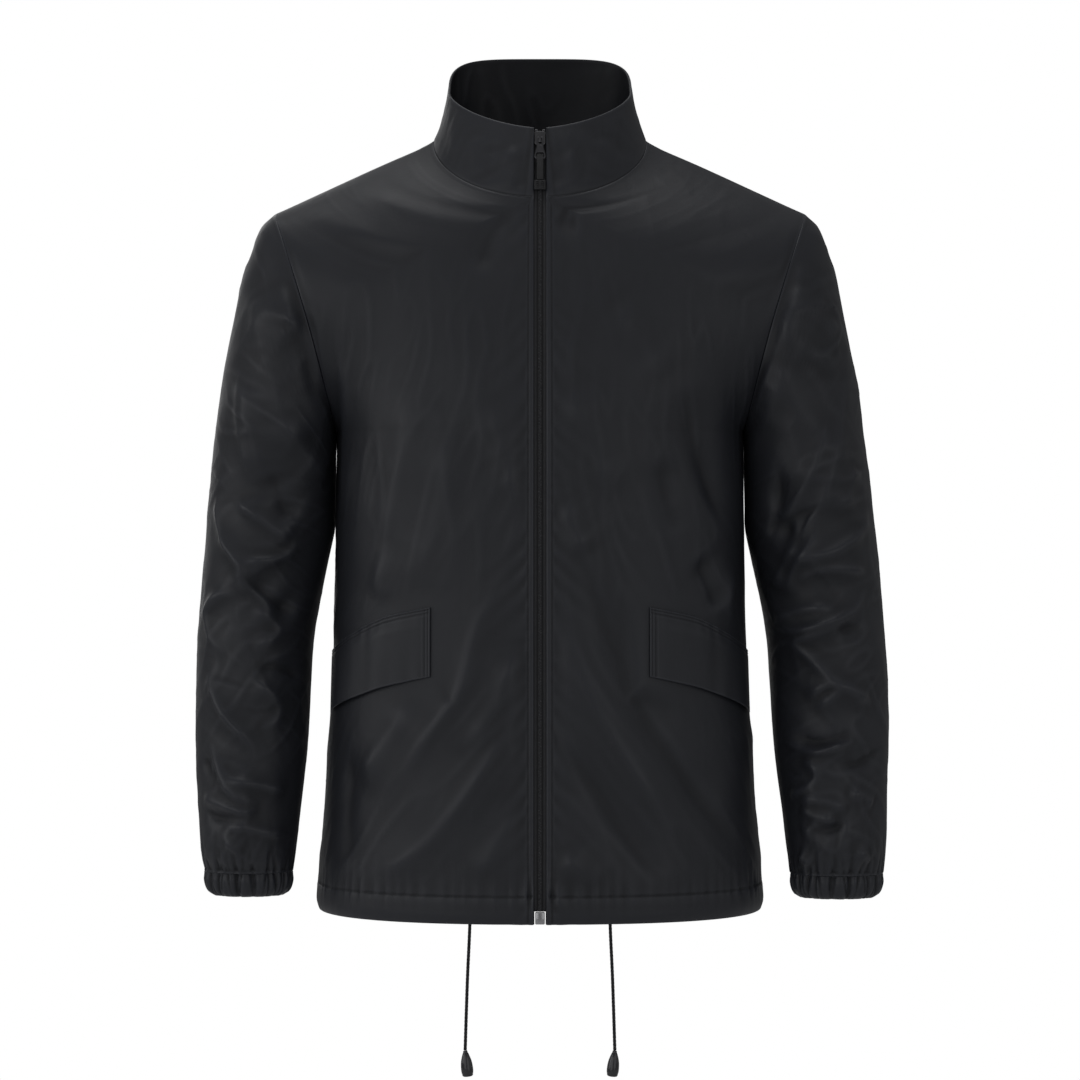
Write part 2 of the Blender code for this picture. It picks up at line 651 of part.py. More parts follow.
def sleeve_corner(ring, angle, face, side):
    """A corner of the sleeve, on its ring and at an angle counted from the outside."""
    def at(name):
        return SLEEVE.at(name, ring)

    outer, inner = sleeve_sides(ring, side)
    middle = (outer + inner) / 2
    depth = at({FRONT: "front", BACK: "back"}[face])
    point = middle + (outer - middle) * math.cos(angle)
    point += Vector((-at("bow") * math.sin(angle) ** 2, face * depth * math.sin(angle), 0))
    folds = {FRONT: SLEEVE_FRONT_FOLDS, BACK: SLEEVE_BACK_FOLDS}[face]
    calm = ease(ring / 2) * ease((LAST_RING - ring) / 1.5) * ease(2 * math.sin(angle))
    shift = 0.012 if side == LEFT else 0.0
    lift = fold_height(folds, point.x - middle.x, point.z + shift) * calm
    outward = (point - middle).normalized()
    return Corner(point + outward * lift, WALL, None)


def build_sleeves():
    for name, side in (("sleeve_right", LEFT), ("sleeve_left", RIGHT)):
        grid = []
        for k in range(SLEEVE_ROWS + 1):
            ring = LAST_RING * k / SLEEVE_ROWS
            row = []
            for cell in range(2 * ARMHOLE_CELLS):
                face = FRONT if cell <= ARMHOLE_CELLS else BACK
                turn = math.pi * cell / ARMHOLE_CELLS
                angle = turn if face == FRONT else 2 * math.pi - turn
                corner = sleeve_corner(ring, angle, face, side)
                if k == 0:
                    towards = Vector((1, 0, 0))
                    away = across_seam(armhole_point, armhole_inward, angle, face, towards)
                    wall = WALL * (2 if angle > math.pi * 0.9 else 1)
                    inward = armhole_inward(angle, face)
                    corner = Corner(armhole_point(angle, face) + away * HALF_SEAM, wall, inward)
                if k == SLEEVE_ROWS:
                    corner = Corner(corner.point + Vector((0, 0, HALF_SEAM)), WALL, None)
                row.append(corner)
            grid.append(row)
        cloth_wall(name, [mirrored(grid, side)], SHELL_CLOTH, closed=True, level_rims=True)


def build_cuffs():
    """The elastic draws each cuff into gathers, and its lower edge curls in."""
    for name, side in (("cuff_right", LEFT), ("cuff_left", RIGHT)):
        outer, inner = sleeve_sides(LAST_RING, side)
        middle = (outer + inner) / 2
        widened = (outer.x - inner.x) / 2 - CUFF.at("half_width", CUFF_TOP)
        grid = []
        for height in CUFF.column("height"):
            row = []
            for k in range(2 * CUFF_GATHERS):
                turn = math.pi * k / CUFF_GATHERS
                wave = CUFF.at("wave", height) * (1 if k % 2 else -1) * (1 + 0.3 * math.sin(5 * turn))
                outward = Vector((math.cos(turn), -math.sin(turn), 0))
                point = Vector((
                    middle.x + outward.x * (CUFF.at("half_width", height) + widened + wave),
                    middle.y + outward.y * (CUFF.at("half_depth", height) + wave),
                    middle.z + height - CUFF_TOP - (HALF_SEAM if height == CUFF_TOP else 0.0),
                ))
                row.append(Corner(point, WALL, -outward))
            grid.append(row)
        cloth_wall(name, [mirrored(grid, side)], SHELL_CLOTH, closed=True, level_rims=True)


def collar_edge(angle, face):
    """A point of the collar's top edge."""
    power = {FRONT: COLLAR_FRONT_ROUND, BACK: COLLAR_BACK_ROUND}[face]
    x = COLLAR_HALF_WIDTH * math.sin(angle) ** power
    y = face * COLLAR_HALF_DEPTH * max(math.cos(angle), 0.0) ** power
    return Vector((x, y, COLLAR_SIDE_HEIGHT + COLLAR_RISE * y / COLLAR_HALF_DEPTH))


def build_collar():
    """A stand collar of two layers, folded at its top edge and open at the zip."""
    stops = [(k, FRONT) for k in range(NECK_CELLS + 1)]
    stops += [(k, BACK) for k in reversed(range(NECK_CELLS))]
    half = []
    for share in COLLAR_ROWS:
        row = []
        for k, face in stops:
            angle = math.pi / 2 * k / NECK_CELLS
            low = neck_point(angle, face)
            high = collar_edge(angle, face)
            low.x = max(low.x, FRONT_EDGE) if face == FRONT else low.x
            high.x = max(high.x, FRONT_EDGE) if face == FRONT else high.x
            outward = Vector((math.sin(angle), face * math.cos(angle), 0))
            hollow = 0.001 - COLLAR_HOLLOW * math.sin(angle) ** 4
            point = low.lerp(high, share) + outward * hollow * 4 * share * (1 - share)
            inward = None
            if share == 0:
                away = across_seam(neck_point, neck_inward, angle, face, Vector((0, 0, 1)))
                point += away * HALF_SEAM
                inward = neck_inward(angle, face)
            if share == 1:
                point -= outward * COLLAR_TOP_INSET
            row.append(Corner(point, DOUBLE_WALL, inward))
        half.append(row)
    cloth_wall("collar", [mirrored(half, LEFT), mirrored(half, RIGHT)], SHELL_CLOTH)


def build_flaps():
    """Each flap is made from the front's own points, moved out."""
    for name, side in (("flap_right", LEFT), ("flap_left", RIGHT)):
        grid = []
        middle_row = body_row(FRONT, FLAP.rows[0][1])
        first, last = (share_at(middle_row, FLAP.rows[k][0]) for k in (0, -1))
        for level in (0.0, 0.35, 0.7, 1.0):
            row = []
            for k in range(FLAP_CELLS + 1):
                share = first + (last - first) * k / FLAP_CELLS
                x = on_row(middle_row, share).x
                height = FLAP.at("bottom", x) + (FLAP.at("top", x) - FLAP.at("bottom", x)) * level
                gap = FLAP.at("bottom_gap", x)
                gap += (FLAP.at("top_gap", x) - gap) * level
                handles = body_row(FRONT, height)
                point = on_row(handles, share)
                along = on_row(handles, share + 0.01) - on_row(handles, share - 0.01)
                outward = Vector((along.y, -along.x, 0)).normalized()
                point += outward * (FLAP_WALL + SEAM + gap)
                row.append(Corner(point, FLAP_WALL, -outward))
            grid.append(row)
        cloth_wall(name, [mirrored(grid, side)], SHELL_CLOTH)


def closure_depth(height):
    """How far the middle of the jacket's front stands forward, from the collar's top to the hem."""
    if height <= NECK_FRONT_HEIGHT:
        return FRONT_LINE.at("depth", height)
    share = (height - NECK_FRONT_HEIGHT) / (COLLAR_FRONT_TOP - NECK_FRONT_HEIGHT)
    return NECK_FRONT_DEPTH + (COLLAR_HALF_DEPTH - NECK_FRONT_DEPTH) * share


def behind_closure(height, depth):
    """A point behind the jacket's middle front, as deep as said, square to its slope."""
    step = 0.004
    slope = (closure_depth(height - step) - closure_depth(height + step)) / (2 * step)
    inward = Vector((0, 1, -slope)).normalized()
    return Vector((0, -closure_depth(height), height)) + inward * depth


def closure_strip(name, sides, depths, ends, material, follows_cloth=False):
    """A strip down the jacket's middle front; a tape's outer side follows the cloth's curve."""
    cells = 26
    bm = bmesh.new()
    rings = []
    for k in range(cells + 1):
        height = ends[0] + (ends[1] - ends[0]) * k / cells
        extra = SET_BACK.at("depth", height) if follows_cloth else 0.0
        corners = (
            (sides[0], depths[0]), (sides[1], depths[0] + extra),
            (sides[1], depths[1] + extra), (sides[0], depths[1]),
        )
        places = [behind_closure(height, depth) + Vector((x, 0, 0)) for x, depth in corners]
        rings.append([bm.verts.new(place) for place in places])
    for low, high in zip(rings, rings[1:]):
        for k in range(4):
            n = (k + 1) % 4
            bm.faces.new((low[k], low[n], high[n], high[k]))
    bm.faces.new(rings[0])
    bm.faces.new(rings[-1])
    return finish(name, bm, material, smooth=False)


def block(bm, x, y, z):
    """A block between two values along each axis."""
    made = bmesh.ops.create_cube(bm, size=1)["verts"]
    size = Vector((x[1] - x[0], y[1] - y[0], z[1] - z[0]))
    bmesh.ops.scale(bm, vec=size, verts=made)
    bmesh.ops.translate(bm, vec=Vector((x[0] + x[1], y[0] + y[1], z[0] + z[1])) / 2, verts=made)
    return made


def round_off(bm, edges, radius, segments):
    bmesh.ops.bevel(
        bm, geom=edges, offset=radius, segments=segments, affect="EDGES", profile=0.5, material=-1
    )


def edges_along_y(bm):
    """The edges that run from the front to the back."""
    return [edge for edge in bm.edges if abs(edge.verts[0].co.y - edge.verts[1].co.y) > OVERLAP]


def place_on_closure(piece, depth, along=0.0):
    """Stands a piece on the sloping front of the collar, by its depth and its place along the zip."""
    up = Vector((0, math.sin(COLLAR_LEAN), math.cos(COLLAR_LEAN)))
    piece.location = behind_closure(SLIDER_HEIGHT, depth) + up * along
    piece.rotation_euler.x = -COLLAR_LEAN
    return piece


def combine(piece, other, operation):
    """Joins or cuts a piece with another shape, which is then removed."""
    modifier = piece.modifiers.new(operation.lower(), "BOOLEAN")
    modifier.operation = operation
    modifier.solver = "EXACT"
    modifier.object = other
    bpy.context.view_layer.update()
    depsgraph = bpy.context.evaluated_depsgraph_get()
    shape = bpy.data.meshes.new_from_object(piece.evaluated_get(depsgraph))
    piece.modifiers.remove(modifier)
    piece.data = shape
    bpy.data.objects.remove(other, do_unlink=True)
    return piece


def build_slider():
    """Two plates either side of the coil, a post between them above it, and a bridge in front."""
    def part(x, y, z):
        bm = bmesh.new()
        block(bm, x, y, z)
        return finish("slider_shape", bm, NICKEL, smooth=False)

    width = (-PLATE_HALF_WIDTH, PLATE_HALF_WIDTH)
    bridge_width = (-BRIDGE_HALF_WIDTH, BRIDGE_HALF_WIDTH)
    outside = PLATE_FRONT - BRIDGE_ROOM - BRIDGE_BAR
    bm = bmesh.new()
    verts = block(bm, width, (PLATE_FRONT, PLATE_BACK), (-PLATE_HALF_HEIGHT, PLATE_HALF_HEIGHT))
    round_off(bm, edges_along_y(bm), PLATE_CORNER, 3)
    slider = finish("zip_slider", bm, NICKEL, smooth=False)
    rear_depths = (REAR_PLATE, REAR_PLATE + REAR_PLATE_THICKNESS)
    rear = part(width, rear_depths, (-PLATE_HALF_HEIGHT, PLATE_HALF_HEIGHT))
    post_width = (-POST_HALF_WIDTH, POST_HALF_WIDTH)
    post = part(post_width, (PLATE_BACK - OVERLAP, REAR_PLATE + OVERLAP), POST_HEIGHTS)
    bridge_depths = (outside, PLATE_FRONT + OVERLAP)
    bridge = part(bridge_width, bridge_depths, (-BRIDGE_HALF_HEIGHT, BRIDGE_HALF_HEIGHT))
    room_height = BRIDGE_HALF_HEIGHT - BRIDGE_BAR
    room_depths = (PLATE_FRONT - BRIDGE_ROOM, PLATE_FRONT + 2 * OVERLAP)
    room = part(width, room_depths, (-room_height, room_height))
    bridge = combine(bridge, room, "DIFFERENCE")
    for other in (post, rear, bridge):
        combine(slider, other, "UNION")
    place_on_closure(slider, 0.0)


def build_pull():
    """The tab hinges on the slider's bridge; the tape loop and its moulded end hang from the tab."""
    hinge = bpy.data.objects.new("pull_hinge", None)
    bpy.context.scene.collection.objects.link(hinge)
    place_on_closure(hinge, HINGE_DEPTH)

    bm = bmesh.new()
    outline = [bm.verts.new((x, -TAB_HALF_THICKNESS, z)) for x, z in TAB_OUTLINE]
    outline += [bm.verts.new((-x, -TAB_HALF_THICKNESS, z)) for x, z in reversed(TAB_OUTLINE)]
    face = bm.faces.new(outline)
    made = bmesh.ops.extrude_face_region(bm, geom=[face], use_keep_orig=True)["geom"]
    raised = [item for item in made if isinstance(item, bmesh.types.BMVert)]
    bmesh.ops.translate(bm, vec=(0, 2 * TAB_HALF_THICKNESS, 0), verts=raised)
    tab = finish("zip_pull", bm, NICKEL, smooth=False)
    for x, z in (TAB_SLOT, TAB_EYE):
        cutter = bmesh.new()
        block(cutter, x, (-4 * TAB_HALF_THICKNESS, 4 * TAB_HALF_THICKNESS), z)
        round_off(cutter, edges_along_y(cutter), min(x[1] - x[0], z[1] - z[0]) * 0.3, 2)
        combine(tab, finish("cutter", cutter, NICKEL, smooth=False), "DIFFERENCE")

    bm = bmesh.new()
    thickness = (-LOOP_HALF_THICKNESS, LOOP_HALF_THICKNESS)
    block(bm, (-LOOP_HALF_WIDTH, LOOP_HALF_WIDTH), thickness, (LOOP_BOTTOM, LOOP_TOP))
    loop = finish("pull_tape", bm, TAPE_CLOTH, smooth=False)
    cutter = bmesh.new()
    room = (-LOOP_ROOM_HALF_THICKNESS, LOOP_ROOM_HALF_THICKNESS)
    block(cutter, (-2 * LOOP_HALF_WIDTH, 2 * LOOP_HALF_WIDTH), room, LOOP_ROOM)
    combine(loop, finish("cutter", cutter, NICKEL, smooth=False), "DIFFERENCE")

    bm = bmesh.new()
    block(bm, (-GRIP_HALF_WIDTH, GRIP_HALF_WIDTH), thickness, (GRIP_BOTTOM, LOOP_BOTTOM - SEAM))
    round_off(bm, bm.edges[:], TAB_HALF_THICKNESS, 1)
    grip = finish("pull_grip", bm, PULL_RUBBER, smooth=False)
    for piece in (tab, loop, grip):
        piece.parent = hinge


def build_zip():
    """Tapes behind the fronts' edges, the closed coil between them, the stops and the box."""
    tape_depths = (TAPE_DEPTH, TAPE_DEPTH + TAPE_THICKNESS)
    coil_depths = (PLATE_BACK + SEAM, TAPE_DEPTH + TAPE_THICKNESS)
    for name, side in (("right", LEFT), ("left", RIGHT)):
        sides = (side * TAPE_INNER_EDGE, side * TAPE_OUTER_EDGE)
        tape_ends = (BOX_TOP + SEAM, ZIP_TOP)
        closure_strip("zip_tape_" + name, sides, tape_depths, tape_ends, TAPE_CLOTH, follows_cloth=True)
        bm = bmesh.new()
        block(bm, sorted(side * x for x in STOP_SIDES), STOP_DEPTHS, STOP_HEIGHTS)
        place_on_closure(finish("zip_stop_" + name, bm, NICKEL, smooth=False), 0.0)
    coil_sides = (-CHAIN_HALF_WIDTH, CHAIN_HALF_WIDTH)
    coil_ends = (BOX_TOP + SEAM, SLIDER_HEIGHT + 0.0030)
    closure_strip("zip_chain", coil_sides, coil_depths, coil_ends, COIL_NYLON)
    bm = bmesh.new()
    front = -closure_depth(BOX_TOP)
    depths = [front + depth for depth in BOX_DEPTHS]
    block(bm, (-BOX_HALF_WIDTH, BOX_HALF_WIDTH), depths, (BOX_BOTTOM, BOX_TOP))
    round_off(bm, bm.edges[:], TAPE_THICKNESS, 2)
    finish("zip_box", bm, NICKEL, smooth=False)


def cord_exit():
    """The middle of the eyelet on the hem's inner side, and the direction it faces."""
    point = front_surface(CORD_EXIT_X, CORD_EXIT_HEIGHT)
    beside = front_surface(CORD_EXIT_X + 0.004, CORD_EXIT_HEIGHT)
    along = (beside - point).normalized()
    inward = Vector((-along.y, along.x, 0)) if along.x > 0 else Vector((along.y, -along.x, 0))
    return point + inward * (DOUBLE_WALL + 0.0008), inward


def build_drawcords():
    """Each free end comes out of an eyelet inside the hem, hangs down and ends in a teardrop."""
    exit_point, inward = cord_exit()
    for name, side in (("right", LEFT), ("left", RIGHT)):
        facing = Vector((side * inward.x, inward.y, 0))
        start = Vector((side * exit_point.x, exit_point.y, exit_point.z))
        build_eyelet("eyelet_" + name, start, facing)
        route = [
            start + Vector((side * outwards, inside, -down)) for down, outwards, inside in CORD_ROUTE.rows
        ]
        places = smooth_route(route, CORD_STEP)
        cord = bpy.data.curves.new("drawcord_" + name, "CURVE")
        cord.dimensions = "3D"
        cord.bevel_depth = CORD_RADIUS
        cord.bevel_resolution = 2
        cord.use_fill_caps = True
        spline = cord.splines.new("POLY")
        spline.points.add(len(places) - 1)
        for point, place in zip(spline.points, places):
            point.co = (*place, 1)
        cord.materials.append(CORD_YARN)
        bpy.context.scene.collection.objects.link(bpy.data.objects.new("drawcord_" + name, cord))
        build_tip("cord_tip_" + name, places[-1] - Vector((0, 0, SEAM)), side)


def build_eyelet(name, place, facing):
    """A flat ring in the hem's inner layer."""
    bm = bmesh.new()
    rings = []
    for radius, depth in ((EYELET_OUTER, 0), (EYELET_OUTER, 1), (EYELET_INNER, 1), (EYELET_INNER, 0)):
        circle = bmesh.ops.create_circle(bm, radius=radius, segments=EYELET_SIDES)["verts"]
        bmesh.ops.translate(bm, vec=(0, 0, depth * EYELET_THICKNESS), verts=circle)
        rings.append(circle)
    for first, second in zip(rings, rings[1:] + rings[:1]):
        for k in range(EYELET_SIDES):
            n = (k + 1) % EYELET_SIDES
            bm.faces.new((first[k], first[n], second[n], second[k]))
    eyelet = finish(name, bm, GREY_METAL, smooth=False)
    eyelet.location = place
    eyelet.rotation_euler = facing.to_track_quat("Z", "Y").to_euler()


def build_tip(name, place, side):
    """A teardrop on the cord's end, its foot leaning towards the middle of the jacket."""
    bm = bmesh.new()
    rings = []
    for down, radius in TIP.rows:
        circle = bmesh.ops.create_circle(bm, radius=radius, segments=TIP_SIDES)["verts"]
        bmesh.ops.translate(bm, vec=(0, 0, -down), verts=circle)
        rings.append(circle)
    for first, second in zip(rings, rings[1:]):
        for k in range(TIP_SIDES):
            n = (k + 1) % TIP_SIDES
            bm.faces.new((first[k], first[n], second[n], second[k]))
    bm.faces.new(rings[0])
    bm.faces.new(rings[-1])
    tip = finish(name, bm, GREY_METAL)
    tip.location = place
    tip.rotation_euler.y = side * TIP_TILT


def smooth_route(route, spacing):
    """Points at even steps along a smooth curve through the route's own points."""
    ends = [route[0] * 2 - route[1]] + route + [route[-1] * 2 - route[-2]]
    dense = []
    for before, start, end, after in zip(ends, ends[1:], ends[2:], ends[3:]):
        first = start + (end - before) / 6
        second = end - (after - start) / 6
        dense += interpolate_bezier(start, first, second, end, 24)[:-1]
    dense.append(route[-1])
    length = sum((b - a).length for a, b in zip(dense, dense[1:]))
    count = round(length / spacing)
    places, walked, target = [dense[0]], 0.0, length / count
    for a, b in zip(dense, dense[1:]):
        span = (b - a).length
        while span and walked + span >= target * len(places) and len(places) < count:
            places.append(a.lerp(b, (target * len(places) - walked) / span))
        walked += span
    return places + [dense[-1]]


build_fronts()
build_back()
build_sleeves()
build_cuffs()
build_collar()
build_flaps()
build_zip()
build_slider()
build_pull()
build_drawcords()
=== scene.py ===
"""The looks of a zip-front rain jacket, filled out as if worn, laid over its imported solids.

The jacket hangs with +Z up and its front towards -Y, so -X is the wearer's right side. The origin
is the middle of the neck, level with the tops of the shoulder seams. Sizes are in metres, apart
from the creases' tables, which are in millimetres.
"""
import math
from collections import namedtuple

import bmesh
import bpy
import numpy as np
from mathutils import Matrix, Vector, noise


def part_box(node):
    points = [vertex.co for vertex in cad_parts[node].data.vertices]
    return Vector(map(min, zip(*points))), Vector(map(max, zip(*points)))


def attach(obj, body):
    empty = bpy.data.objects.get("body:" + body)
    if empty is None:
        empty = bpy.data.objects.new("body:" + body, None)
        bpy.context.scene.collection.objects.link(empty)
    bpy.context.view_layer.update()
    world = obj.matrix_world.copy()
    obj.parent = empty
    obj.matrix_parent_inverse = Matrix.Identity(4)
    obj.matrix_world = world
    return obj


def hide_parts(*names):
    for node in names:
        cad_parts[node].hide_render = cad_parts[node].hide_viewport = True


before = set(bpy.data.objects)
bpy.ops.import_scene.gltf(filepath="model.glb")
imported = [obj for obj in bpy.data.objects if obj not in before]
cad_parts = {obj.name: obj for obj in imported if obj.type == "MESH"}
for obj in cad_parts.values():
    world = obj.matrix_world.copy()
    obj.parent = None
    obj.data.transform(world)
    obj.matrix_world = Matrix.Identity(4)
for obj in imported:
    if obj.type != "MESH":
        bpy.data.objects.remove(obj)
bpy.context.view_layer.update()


# The view: square on to the jacket's front from three metres away, level with its middle. The
# square picture takes in just under a metre at the depth of the neck.
VIEW_DISTANCE = 3.0
VIEW_HEIGHT = -0.363
VIEW_WIDTH = 0.9936
SENSOR_MM = 36.0

camera = bpy.data.objects.new("camera", bpy.data.cameras.new("camera"))
camera.data.sensor_width = SENSOR_MM
camera.data.lens = SENSOR_MM * VIEW_DISTANCE / VIEW_WIDTH
camera.location = (0, -VIEW_DISTANCE, VIEW_HEIGHT)
camera.rotation_euler.x = math.radians(90)
bpy.context.scene.collection.objects.link(camera)
bpy.context.scene.camera = camera


# The drawcord's two free ends: thin braided polyester cord, dark as the shell. Each comes out of
# an eyelet on the hem's inner side, bends down under its own weight and hangs to its tip.
SIDES = (("right", -1), ("left", 1))
CORD_RADIUS = 0.0015
CORD_START = (0.0610, -0.1417, -0.6840)
CORD_ROUTE = (
    (0.0, 0.0, 0.0), (0.0, 0.0030, 0.0), (0.0, 0.0062, -0.0012), (0.0001, 0.0086, -0.0042),
    (0.0004, 0.0094, -0.0090), (0.0012, 0.0096, -0.0300), (0.0026, 0.0094, -0.0600),
    (0.0038, 0.0092, -0.0950), (0.0048, 0.0092, -0.1277),
)
BRAID_STEP = 0.0034
BRAID_DEPTH = 0.10
BRAID_STRANDS = 4
CORD_SIDES = 24
CORD_RING_STEP = 0.0005
YARN_COLOUR = (0.012, 0.0125, 0.015)
YARN_THREAD = 0.0004
CURVE_STEPS = 16
# A fold this tight, in bends a metre, counts as half folded
FOLD_CURVE = 110.0
SHORTEST_STEP = 0.0002
JOINED_WITHIN = 2e-6


class Wire:
    """A socket among a material's nodes. Arithmetic on it adds the Math nodes that it takes."""

    def __init__(self, tree, socket=None):
        self.tree = tree
        self.socket = socket

    def node(self, kind, values=(), output=0, **settings):
        """Adds a node: its settings first, then the values or the wires of its sockets."""
        made = self.tree.nodes.new(kind)
        for name, value in settings.items():
            setattr(made, name, value)
        for name, value in dict(values).items():
            if isinstance(value, Wire):
                self.tree.links.new(value.socket, made.inputs[name])
            else:
                made.inputs[name].default_value = value
        return Wire(self.tree, made.outputs[output])

    def math(self, operation, *values):
        return self.node("ShaderNodeMath", enumerate(values), operation=operation)

    def sine(self):
        return self.math("SINE", self)

    def into(self, name):
        """Ends this wire at a socket of the material's own shader."""
        self.tree.links.new(self.socket, self.tree.nodes["Principled BSDF"].inputs[name])

    def __add__(self, other):
        return self.math("ADD", self, other)

    def __sub__(self, other):
        return self.math("SUBTRACT", self, other)

    def __rsub__(self, other):
        return self.math("SUBTRACT", other, self)

    def __mul__(self, other):
        return self.math("MULTIPLY", self, other)

    __radd__ = __add__
    __rmul__ = __mul__


def finish(name, colour, roughness, **constants):
    """A material with its even values set on its shader, and a wire to add nodes with."""
    material = bpy.data.materials.new(name)
    material.use_nodes = True
    shader = material.node_tree.nodes["Principled BSDF"]
    shader.inputs["Base Color"].default_value = (*colour, 1)
    shader.inputs["Roughness"].default_value = roughness
    for socket, value in constants.items():
        shader.inputs[socket.replace("_", " ")].default_value = value
    return material, Wire(material.node_tree)


def object_noise(wire, scale, detail=2.0):
    """Noise that stays with the piece; scale is in patches a metre."""
    place = wire.node("ShaderNodeTexCoord", output="Object")
    return wire.node("ShaderNodeTexNoise", {"Vector": place, "Scale": scale, "Detail": detail})


def tinted(wire, amount, colour):
    """The colour, made lighter and darker by a wire that runs from 0 to 1."""
    low = tuple(c * (1 - amount) for c in colour) + (1,)
    high = tuple(c * (1 + amount) for c in colour) + (1,)
    values = {"Factor": wire, "A": low, "B": high}
    return wire.node("ShaderNodeMix", values, "Result", data_type="RGBA")


def own_uv(wire):
    """The two directions of the piece's own map, in metres along its cloth."""
    place = wire.node("ShaderNodeUVMap", uv_map="UVMap")
    return tuple(wire.node("ShaderNodeSeparateXYZ", {0: place}, axis) for axis in "XY")


def weave(wire, thread):
    """Threads that go over and under each other, as a height from -1 to 1."""
    u, v = own_uv(wire)
    return (u * (math.pi / thread)).sine() * (v * (math.pi / thread)).sine()


def bumped(wire, height, distance, strength=1.0, normal=None):
    """A surface's small relief; distance is how deep it is in metres."""
    values = {"Height": height, "Distance": distance, "Strength": strength}
    if normal:
        values["Normal"] = normal
    return wire.node("ShaderNodeBump", values)


def textured(name, colour, roughness, tint=None, gloss=None, grain=None, **constants):
    """A material with noise on it. tint is the noise's scale and how much it changes the colour,
    gloss its scale, its share and the least roughness, and grain its scale, depth and strength."""
    material, wire = finish(name, colour, roughness, **constants)
    if tint:
        scale, amount = tint
        tinted(object_noise(wire, scale), amount, colour).into("Base Color")
    if gloss:
        scale, share, least = gloss
        (object_noise(wire, scale) * share + least).into("Roughness")
    if grain:
        scale, depth, strength = grain
        bumped(wire, object_noise(wire, scale), depth, strength).into("Normal")
    return material


def smooth_line(points, step):
    """Points at even steps along a smooth curve through the given ones."""
    points = np.array(points, float)
    ends = [2 * points[0] - points[1], *points, 2 * points[-1] - points[-2]]
    t = np.linspace(0, 1, CURVE_STEPS + 1)[:-1, None]
    parts = [
        b + (c - a) * t / 2
        + (2 * a - 5 * b + 4 * c - d) * t ** 2 / 2
        + (3 * b - a - 3 * c + d) * t ** 3 / 2
        for a, b, c, d in zip(ends, ends[1:], ends[2:], ends[3:])
    ]
    curve = np.concatenate(parts + [points[-1:]])
    walked = lengths_along(curve)
    marks = np.linspace(0, walked[-1], max(2, round(walked[-1] / step)) + 1)
    return np.stack([np.interp(marks, walked, values) for values in curve.T], axis=1)


def lengths_along(curve):
    """How far along a line of points each of them is."""
    return np.concatenate([[0], np.cumsum(np.linalg.norm(np.diff(curve, axis=0), axis=1))])


def bending(points, axis):
    """How a grid of points bends along one of its directions, as vectors per metre."""
    ahead = np.diff(points, axis=axis)
    steps = np.maximum(np.linalg.norm(ahead, axis=2, keepdims=True), SHORTEST_STEP)
    slopes = ahead / steps
    width = [(0, 0), (0, 0), (0, 0)]
    width[axis] = (1, 1)
    count = steps.shape[axis]
    between = (np.take(steps, range(1, count), axis) + np.take(steps, range(count - 1), axis)) / 2
    return np.pad(np.diff(slopes, axis=axis) / between, width)


def folded(points):
    """How tightly each place of a grid is folded: near 1 deep in a fold and near -1 on a crest."""
    across = np.gradient(points, axis=1)
    along = np.gradient(points, axis=0)
    facing = np.cross(across, along)
    facing /= np.maximum(np.linalg.norm(facing, axis=2, keepdims=True), 1e-12)
    curve = ((bending(points, 0) + bending(points, 1)) * facing).sum(2)
    for axis in (0, 1):
        before, after = np.roll(curve, 1, axis), np.roll(curve, -1, axis)
        curve = (before + 2 * curve + after) / 4
    return curve / (np.abs(curve) + FOLD_CURVE)


def laid_grid(points, inside):
    """A mesh through a grid of points, facing away from the inside. Its UV map is in metres."""
    across = np.diff(points, axis=1)
    along = np.diff(points, axis=0)
    facing = np.cross(across[:-1], along[:, :-1])
    if (facing * (points[:-1, :-1] - inside)).sum() < 0:
        points = points[:, ::-1]
        across = across[:, ::-1]
    u = np.append(0, np.cumsum(np.linalg.norm(across, axis=2).mean(0)))
    v = np.append(0, np.cumsum(np.linalg.norm(along, axis=2).mean(1)))
    bm = bmesh.new()
    bm.loops.layers.uv.new("UVMap")
    bmesh.ops.create_grid(
        bm, x_segments=len(u) - 1, y_segments=len(v) - 1, size=0.5, calc_uvs=True
    )
    mesh = bpy.data.meshes.new("grid")
    bm.to_mesh(mesh)
    bm.free()
    mesh.vertices.foreach_set("co", np.ascontiguousarray(points, np.float32).ravel())
    corners = np.empty(len(mesh.loops), np.int32)
    mesh.loops.foreach_get("vertex_index", corners)
    uv = np.stack(np.meshgrid(u, v), axis=2).reshape(-1, 2)[corners]
    mesh.uv_layers["UVMap"].data.foreach_set("uv", uv.astype(np.float32).ravel())
    # How folded each place is, which the shell cloth turns into painted shade in folds and a painted
    # highlight on crests
    fold = mesh.attributes.new("fold", "FLOAT", "POINT")
    fold.data.foreach_set("value", folded(points).astype(np.float32).ravel())
    return mesh


def skin(name, grids, material, capped=False, inside=None):
    """A surface through one or more grids of points, with the edges that meet joined."""
    inside = np.mean([grid.mean((0, 1)) for grid in grids], axis=0) if inside is None else inside
    bm = bmesh.new()
    for grid in grids:
        bm.from_mesh(laid_grid(grid, inside))
    bmesh.ops.remove_doubles(bm, verts=bm.verts, dist=JOINED_WITHIN)
    if capped:
        bmesh.ops.holes_fill(bm, edges=[edge for edge in bm.edges if edge.is_boundary], sides=0)
    return finished(name, bm, material)


def finished(name, bm, material, smooth=True):
    """Puts a shape into the scene as a piece of its own."""
    mesh = bpy.data.meshes.new(name)
    bm.to_mesh(mesh)
    bm.free()
    mesh.materials.append(material)
    if smooth:
        mesh.shade_smooth()
    piece = bpy.data.objects.new(name, mesh)
    bpy.context.scene.collection.objects.link(piece)
    return piece


def fasten(piece, slot, *nodes, body="jacket"):
    """Says what a piece moves with and which solids it stands for; slot, for which finish it takes,
    is not used.
    """
    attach(piece, body)
    if nodes:
        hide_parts(*nodes)
    return piece


